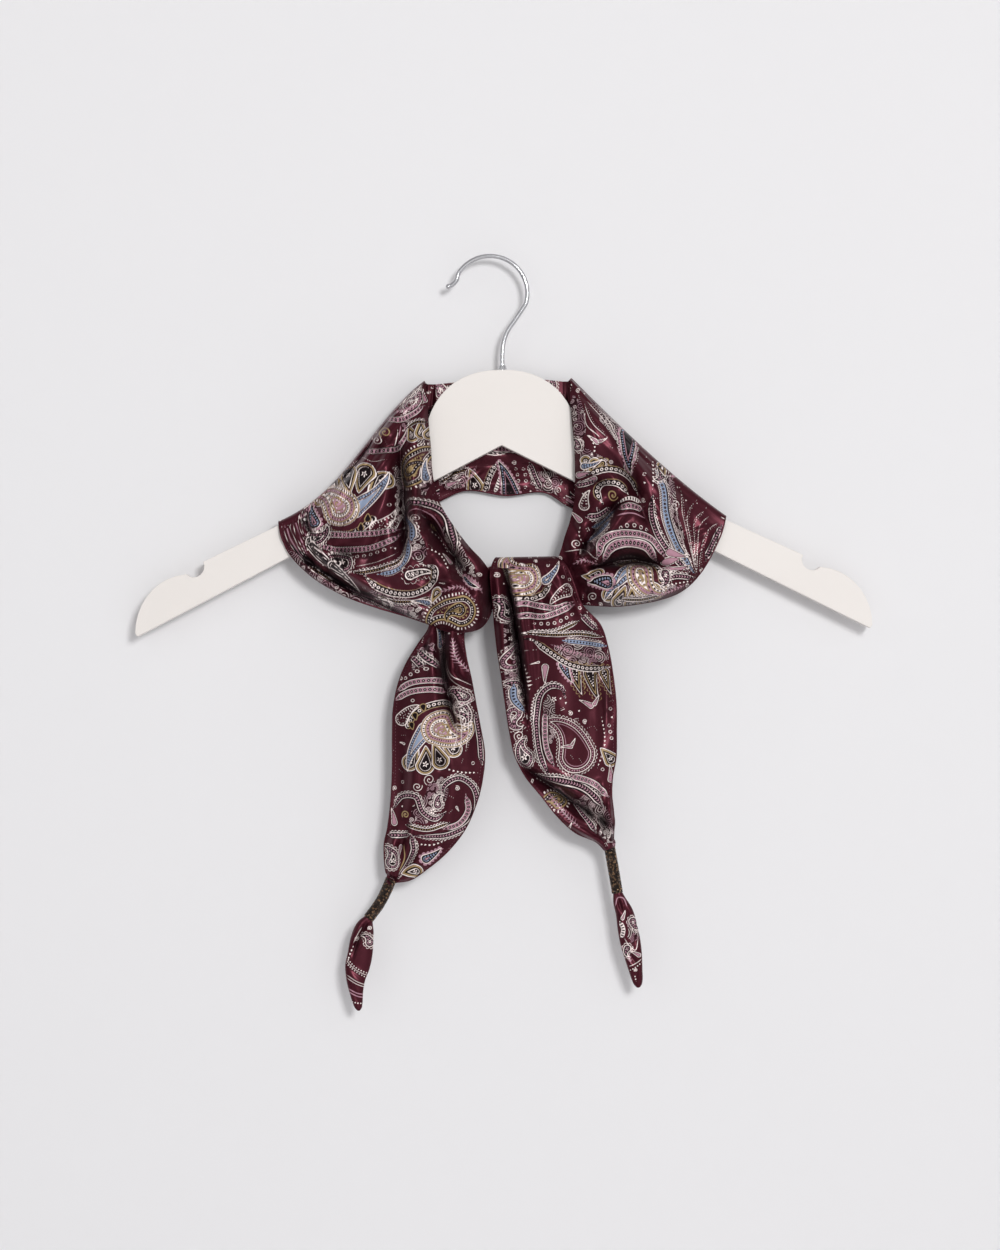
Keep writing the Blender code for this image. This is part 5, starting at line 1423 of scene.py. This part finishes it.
def makeBeadTree():
    tree, given, made = newGeometryTree("beaded_sleeve", (
        ("Sleeve Radius", "Float"), ("Bead Size", "Float"), ("Beads Around", "Int"),
        ("Uneven", "Float"), ("Seed", "Int"), ("Finish", "Material"),
    ))
    line = addNode(tree, "GeometryNodeMeshToCurve", {0: given["Geometry"]})
    pitch = addMath(tree, "MULTIPLY", given["Bead Size"], 0.90)
    rings = addNode(tree, "GeometryNodeResampleCurve", {"Curve": line.outputs[0], "Length": pitch}, mode="LENGTH")
    half = addMath(tree, "DIVIDE", pi, given["Beads Around"])
    order = addNode(tree, "GeometryNodeInputIndex").outputs[0]
    tilted = addNode(tree, "GeometryNodeSetCurveTilt",
                     {"Curve": rings.outputs[0], "Tilt": addMath(tree, "MULTIPLY", order, half)})
    round_ = addNode(tree, "GeometryNodeCurvePrimitiveCircle",
                     {"Resolution": given["Beads Around"], "Radius": given["Sleeve Radius"]})
    net = addNode(tree, "GeometryNodeCurveToMesh", {"Curve": tilted.outputs[0], "Profile Curve": round_.outputs[0]})
    bead = addNode(tree, "GeometryNodeMeshIcoSphere",
                   {"Radius": addMath(tree, "MULTIPLY", given["Bead Size"], 0.54), "Subdivisions": 2})
    outwards = addNode(tree, "FunctionNodeAlignRotationToVector",
                       {"Vector": addNode(tree, "GeometryNodeInputNormal").outputs[0]}, axis="Z")
    least = addMath(tree, "SUBTRACT", 1.0, given["Uneven"])
    most = addMath(tree, "ADD", 1.0, given["Uneven"])
    size = addNode(tree, "FunctionNodeRandomValue", {2: least, 3: most, "Seed": given["Seed"]}, data_type="FLOAT")
    beads = addNode(tree, "GeometryNodeInstanceOnPoints", {
        "Points": net.outputs[0], "Instance": bead.outputs[0], "Rotation": outwards.outputs[0],
        "Scale": size.outputs[1],
    })
    turn = addNode(tree, "FunctionNodeRandomValue",
                   {"Min": (-0.5, -0.5, -3.1), "Max": (0.5, 0.5, 3.1), "Seed": given["Seed"]},
                   data_type="FLOAT_VECTOR")
    turnedBeads = addNode(tree, "GeometryNodeRotateInstances",
                          {"Instances": beads.outputs[0], "Rotation": turn.outputs[0]})
    tone = addNode(tree, "FunctionNodeRandomValue", {2: 0.0, 3: 1.0, "Seed": given["Seed"]}, data_type="FLOAT")
    toned = addNode(tree, "GeometryNodeStoreNamedAttribute",
                    {"Geometry": turnedBeads.outputs[0], "Name": "beadTone", "Value": tone.outputs[1]},
                    data_type="FLOAT", domain="INSTANCE")
    inner = addNode(tree, "GeometryNodeCurvePrimitiveCircle",
                    {"Resolution": 20, "Radius": addMath(tree, "MULTIPLY", given["Sleeve Radius"], 0.93)})
    cord = addNode(tree, "GeometryNodeCurveToMesh",
                   {"Curve": line.outputs[0], "Profile Curve": inner.outputs[0], "Fill Caps": True})
    both = addNode(tree, "GeometryNodeJoinGeometry")
    tree.links.new(cord.outputs[0], both.inputs[0])
    tree.links.new(toned.outputs[0], both.inputs[0])
    real = addNode(tree, "GeometryNodeRealizeInstances", {0: both.outputs[0]})
    done = addNode(tree, "GeometryNodeSetMaterial", {"Geometry": real.outputs[0], "Material": given["Finish"]})
    tree.links.new(done.outputs[0], made["Geometry"])
    return tree


def makeStitchTree():
    tree, given, made = newGeometryTree("hem_stitches", (
        ("Stitch Length", "Float"), ("Stitch Pitch", "Float"), ("Thread Radius", "Float"),
        ("Lift", "Vector"), ("Finish", "Material"),
    ))
    line = addNode(tree, "GeometryNodeMeshToCurve", {0: given["Geometry"]})
    holes = addNode(tree, "GeometryNodeResampleCurve",
                    {"Curve": line.outputs[0], "Length": given["Stitch Pitch"]}, mode="LENGTH")
    drop = addNode(tree, "GeometryNodeMeshUVSphere", {"Segments": 6, "Rings": 4, "Radius": 1.0})
    halfLength = addMath(tree, "MULTIPLY", given["Stitch Length"], 0.5)
    stretch = addNode(tree, "ShaderNodeCombineXYZ",
                      {0: halfLength, 1: given["Thread Radius"], 2: given["Thread Radius"]})
    tangent = addNode(tree, "GeometryNodeInputTangent").outputs[0]
    way = addNode(tree, "FunctionNodeAlignRotationToVector", {"Vector": tangent}, axis="X")
    stitches = addNode(tree, "GeometryNodeInstanceOnPoints", {
        "Points": holes.outputs[0], "Instance": drop.outputs[0],
        "Rotation": way.outputs[0], "Scale": stretch.outputs[0],
    })
    lifted = addNode(tree, "GeometryNodeTranslateInstances",
                     {"Instances": stitches.outputs[0], "Translation": given["Lift"]})
    lifted.inputs["Local Space"].default_value = False
    real = addNode(tree, "GeometryNodeRealizeInstances", {0: lifted.outputs[0]})
    done = addNode(tree, "GeometryNodeSetMaterial", {"Geometry": real.outputs[0], "Material": given["Finish"]})
    tree.links.new(done.outputs[0], made["Geometry"])
    return tree


beadSleeves = {
    "sleeveRadius": 2.9, "beadSize": 0.96, "beadsAround": 20, "uneven": 0.12,
    "left": {"path": ((-59.3, -372.4), (-61.8, -378.4), (-65.6, -385.8), (-72.3, -395.0)), "depth": -7.0, "seed": 3},
    "right": {"path": ((71.5, -353.2), (72.9, -361), (74.3, -369), (76.1, -379.6)), "depth": -8.0, "seed": 8},
}


def beadTheSleeves():
    tree, finish = makeBeadTree(), makeBeadGlass()
    for side in ("left", "right"):
        settings = beadSleeves[side]
        line = smoothPath(settings["path"], 1.5)
        path = [(x, settings["depth"], z) for x, z in line]
        name = side + "_beaded_sleeve"
        mesh = runTree(name, tree, path, {
            "Sleeve Radius": beadSleeves["sleeveRadius"] * mm, "Bead Size": beadSleeves["beadSize"] * mm,
            "Beads Around": beadSleeves["beadsAround"], "Uneven": beadSleeves["uneven"],
            "Seed": settings["seed"], "Finish": finish,
        })
        addPiece(name, mesh, finish, [side + "_bead_sleeve"])


beadTheSleeves()
print("sleeves are beaded")

hems = {
    "cordRadius": 0.62,
    "stitchLength": 1.1,
    "stitchPitch": 1.9,
    "threadRadius": 0.16,
    "inset": 1.5,  # from the edge to the stitches
    "edges": (  # sheet, and which of its edges: its hem ends, its neck ends, or both
        ("left_wing_cloth", ("hem",)), ("right_wing_cloth", ("hem",)), ("neck_band_cloth", ("hem",)),
        ("left_tail_cloth", ("neck", "hem")), ("right_tail_cloth", ("neck", "hem")),
    ),
}


def tubeAlong(name, path, radius, sides=8):
    curve = bpy.data.curves.new(name, "CURVE")
    curve.dimensions = "3D"
    curve.bevel_depth = radius * mm
    curve.bevel_resolution = (sides - 4) // 2
    curve.use_fill_caps = True
    spline = curve.splines.new("POLY")
    spline.points.add(len(path) - 1)
    for point, place in zip(spline.points, path):
        point.co = (*(place * mm), 1)
    draft = bpy.data.objects.new(name, curve)
    bpy.context.scene.collection.objects.link(draft)
    return bakeDown(draft)


def hemTheCloth():
    tree = makeStitchTree()
    trims = {}
    for sheetName, edges in hems["edges"]:
        piece, places = sewn[sheetName]
        trims[sheetName] = []
        for edge in edges:
            last = places.shape[1] - 1
            rim = places[::2, 0 if edge == "neck" else last]
            cord = tubeAlong("hem", rim, hems["cordRadius"])
            name = sheetName.replace("cloth", edge)
            cord.shade_smooth()
            trims[sheetName].append(addPiece(name + "_roll", cord, plainSatin))
            ribLength = np.linalg.norm(places[:, last // 2] - places[:, 0 if edge == "neck" else last], axis=1)
            step = int(np.clip(round(hems["inset"] / max(np.median(ribLength), 1) * last / 2), 1, 12))
            line = places[::2, step if edge == "neck" else last - step]
            mesh = runTree(name + "_stitches", tree, line, {
                "Stitch Length": hems["stitchLength"] * mm, "Stitch Pitch": hems["stitchPitch"] * mm,
                "Thread Radius": hems["threadRadius"] * mm, "Lift": (0, -0.48 * mm, 0), "Finish": sewingThread,
            })
            trims[sheetName].append(addPiece(name + "_stitches", mesh, sewingThread))
    return trims


trims = hemTheCloth()
print("hems are rolled and stitched")

leafTips = {
    "sides": 104,
    "spacing": 0.38,
    "seamPinch": 0.30,  # how far the two halves draw in at their seam
    "backShift": 60,  # millimetres on the flat cloth from the front half's print to the back half's
    # how far and how deep the painted shade in the leaves' hollows reaches
    "paintedShadeReach": 6, "paintedShadeDepth": 1.6,
    "left": {
        "nodes": ["left_leaf_tip"], "depth": -7.0,
        "rings": (  # x, z, half width, half thickness
            (-72.5, -395.0, 2.6, 2.0), (-74.6, -399.8, 5.2, 2.9), (-76.5, -408, 6.9, 3.5), (-77.6, -416.5, 7.4, 3.4),
            (-79.2, -424, 7.4, 3.2), (-80.2, -432, 5.7, 2.8), (-79.8, -440, 4.0, 2.3), (-79.0, -446, 2.9, 1.8),
            (-78.6, -449, 2.0, 1.4), (-78.5, -450.4, 0.9, 0.8),
        ),
        "creases": (("lap", -71.8, -396, -82, -420, -1.5, -2.2, 1.0, 2.0), ("gather", -73, -396.5, -71, -410, 0, 1.0, 1.1, 1.1),
                    ("left puff", -77, -399, -83, -412, 0, 0.9, 1.8, 1.8), ("low crease", -84, -424, -74, -433, 0, -0.8, 1.3, 1.6),
                    ("tip crease", -82, -436, -78, -447, 0, -0.6, 1.0, 1.4)),
        "print": (
            ("smallLace", -71.6, -409.5, 7.5, 14, False), ("curl", -71.5, -401, 1.3, 0), ("curl", -79.8, -407, 1.6, 200),
            ("plainLine", (-76.5, -400), (-79, -404), (-82, -410)), ("dashRow", (-81.5, -411), (-83.6, -416), (-85, -421)),
            ("dotRow", (-86.4, -418), (-80, -424.4), (-72, -428.6)), ("dotRow", (-86.6, -421.4), (-80, -427), (-73, -431)),
            ("plainLine", (-86.6, -419.8), (-80, -425.8), (-72.4, -429.8)),
            ("plainLine", (-86, -428.6), (-80, -432.6), (-73, -435.6)), ("plainLine", (-86, -430.4), (-80, -434.2), (-73, -437)),
            ("pinkLine", (-85, -437), (-80, -439.6), (-74, -441)), ("pinkLine", (-85, -438.8), (-80, -441.4), (-74, -442.8)),
            ("dotRow", (-83, -445), (-78, -446), (-75, -446)),
        ),
    },
    "right": {
        "nodes": ["right_leaf_tip"], "depth": -8.0,
        "rings": (
            (76.1, -379.5, 2.6, 1.9), (77.6, -385, 4.1, 2.6), (80.4, -392, 5.3, 3.1), (82.2, -401, 6.0, 3.3),
            (84.0, -410, 6.1, 3.2), (85.8, -419, 5.2, 2.9), (87.2, -427, 4.0, 2.4), (88.1, -432, 3.2, 1.9),
            (88.5, -435, 2.2, 1.4), (88.6, -436.5, 1.0, 0.8),
        ),
        "creases": (("gather", 76, -381, 79, -392, 0, -1.3, 0.9, 1.2), ("long crease", 80, -387, 87, -412, 1, -1.2, 1.2, 2.2),
                    ("edge ridge", 78, -394, 81, -410, 0, 0.8, 1.3, 1.3), ("low crease", 80, -414, 88, -424, 1, -1.2, 1.2, 1.8),
                    ("tip crease", 88, -422, 87, -434, 0, -0.7, 1.0, 1.4)),
        "print": (
            ("pinkLine", (74.6, -388), (76.6, -382.6), (79, -382.6), (82, -388)), ("petal", 79, -395, 5, -24, False),
            ("smallLace", 85.4, -397, 7.5, 194, False), ("ladder", (77.4, -397), (79.4, -401), (78.4, -407)),
            ("narrowLace", (83.6, -394), (86, -402), (85, -409)), ("plainLine", (79.6, -406), (83, -411), (86.6, -414), (88.6, -407)),
            ("leafRow", (78.6, -411.6), (82.4, -416), (84, -422)), ("petal", 89, -417, 6, 60, False),
            ("curl", 87, -426, 1.1, 0), ("dotRow", (86.4, -429), (87.4, -433)), ("smallLace", 82, -413, 6, 150, False),
            ("plainLine", (82.5, -424), (87, -422), (91, -419)), ("dotRow", (83, -426.4), (87.4, -424), (91, -421)),
        ),
    },
}


def makeLeafTip(side):
    leaf = leafTips[side]
    sides = leafTips["sides"]
    rings = smoothPath(leaf["rings"], leafTips["spacing"])
    way = np.gradient(rings[:, :2], axis=0)
    way /= np.linalg.norm(way, axis=1)[:, None]
    aside = np.stack((-way[:, 1], way[:, 0]), axis=1)
    around = np.linspace(0, 2 * pi, sides, endpoint=False)
    across = np.cos(around) * rings[:, 2:3]
    pinch = 1 - leafTips["seamPinch"] * np.abs(np.cos(around)) ** 6
    thick = np.sin(around) * pinch * rings[:, 3:4]
    places = np.stack((rings[:, 0:1] + across * aside[:, 0:1], leaf["depth"] - thick,
                       rings[:, 1:2] + across * aside[:, 1:2]), axis=-1)
    seam = np.abs(np.cos(around)) ** 8
    pucker = 0.16 * np.sin(np.arange(len(rings))[:, None] * 1.35) * seam
    places[..., 1] += pucker
    flat = places[..., [0, 2]].copy()
    front = np.sin(around) > 0
    part = places[:, front]
    flatPart = flat[:, front]
    pressCreases(part, flatPart, leaf["creases"], 0, len(rings), 1)
    places[:, front], flat[:, front] = part, flatPart
    flat[:, ~front, 0] += leafTips["backShift"]
    # Painted shade on the front half: darker where it lies deeper than its neighbours
    depth = np.where(front, places[..., 1], leaf["depth"])
    shadeAmount = np.clip((depth - softened(depth, leafTips["paintedShadeReach"])) / leafTips["paintedShadeDepth"] - 0.1, 0, 1) * front
    count = len(rings)
    tip, foot = count * sides, count * sides + 1
    faces = [(i * sides + j, i * sides + (j + 1) % sides, (i + 1) * sides + (j + 1) % sides, (i + 1) * sides + j)
             for i in range(count - 1) for j in range(sides)]
    faces += [(foot, (j + 1) % sides, j) for j in range(sides)]
    faces += [(tip, (count - 1) * sides + j, (count - 1) * sides + (j + 1) % sides) for j in range(sides)]
    ends = np.array((places[-1].mean(axis=0) - (0, 0, 0.3), places[0].mean(axis=0)))
    mesh = meshOf(side + "_leaf", np.vstack((places.reshape(-1, 3), ends)), faces)
    shell = bmesh.new()
    shell.from_mesh(mesh)
    bmesh.ops.recalc_face_normals(shell, faces=shell.faces)
    shell.to_mesh(mesh)
    shell.free()
    flat = np.vstack((flat.reshape(-1, 2), flat[-1, :1], flat[0, :1]))
    layPlan(mesh, flat)
    ink = newPrint(flat)
    for shift in (0, leafTips["backShift"]):
        ink["places"] = flat - (shift, 0)
        drawPrint(ink, leaf["print"])
    writePrint(mesh, ink)
    keepPaintedShade(mesh, np.append(shadeAmount.ravel(), (0, 0)))
    mesh.shade_smooth()
    piece = addPiece(side + "_padded_leaf", mesh, printedSatin, leaf["nodes"])


for leafSide in ("left", "right"):
    makeLeafTip(leafSide)

endKnob = {
    "place": (71.6, -8.4, -350.6), "radius": 3.5, "long": 1.15, "lean": 12,  # degrees
    "pleats": 10, "pleatDepth": 0.17, "segments": 110, "rings": 60,
    "print": (("lace", (64, -351), (80, -351)), ("leafRow", (66, -348), (72, -351), (78, -349))),
}


def makeEndKnob():
    ball = bmesh.new()
    bmesh.ops.create_uvsphere(ball, u_segments=endKnob["segments"], v_segments=endKnob["rings"], radius=1.0)
    middle, lean = Vector(endKnob["place"]), Matrix.Rotation(radians(endKnob["lean"]), 3, "Y")
    shadeAmount = []
    for vert in ball.verts:
        x, y, z = vert.co
        turn = np.arctan2(y, x) + 0.9 * z
        furrow = (0.5 + 0.5 * cos(endKnob["pleats"] * turn)) ** 2 * (1 - z**4)
        swell = 1 - endKnob["pleatDepth"] * furrow
        # painted shade in the pleats' furrows
        shadeAmount.append(0.9 * furrow)
        vert.co = (middle + lean @ Vector((x * swell, y * swell, z * endKnob["long"])) * endKnob["radius"]) * mm
    mesh = bpy.data.meshes.new("end_knob")
    ball.to_mesh(mesh)
    ball.free()
    places = np.array([tuple(vert.co) for vert in mesh.vertices]) / mm
    layPlan(mesh, places[:, [0, 2]])
    ink = newPrint(places[:, [0, 2]])
    drawPrint(ink, endKnob["print"])
    writePrint(mesh, ink)
    keepPaintedShade(mesh, np.array(shadeAmount))
    mesh.shade_smooth()
    addPiece("gathered_end_knob", mesh, printedSatin, ["right_end_knob"])


makeEndKnob()
print("leaf tips and knob are made")
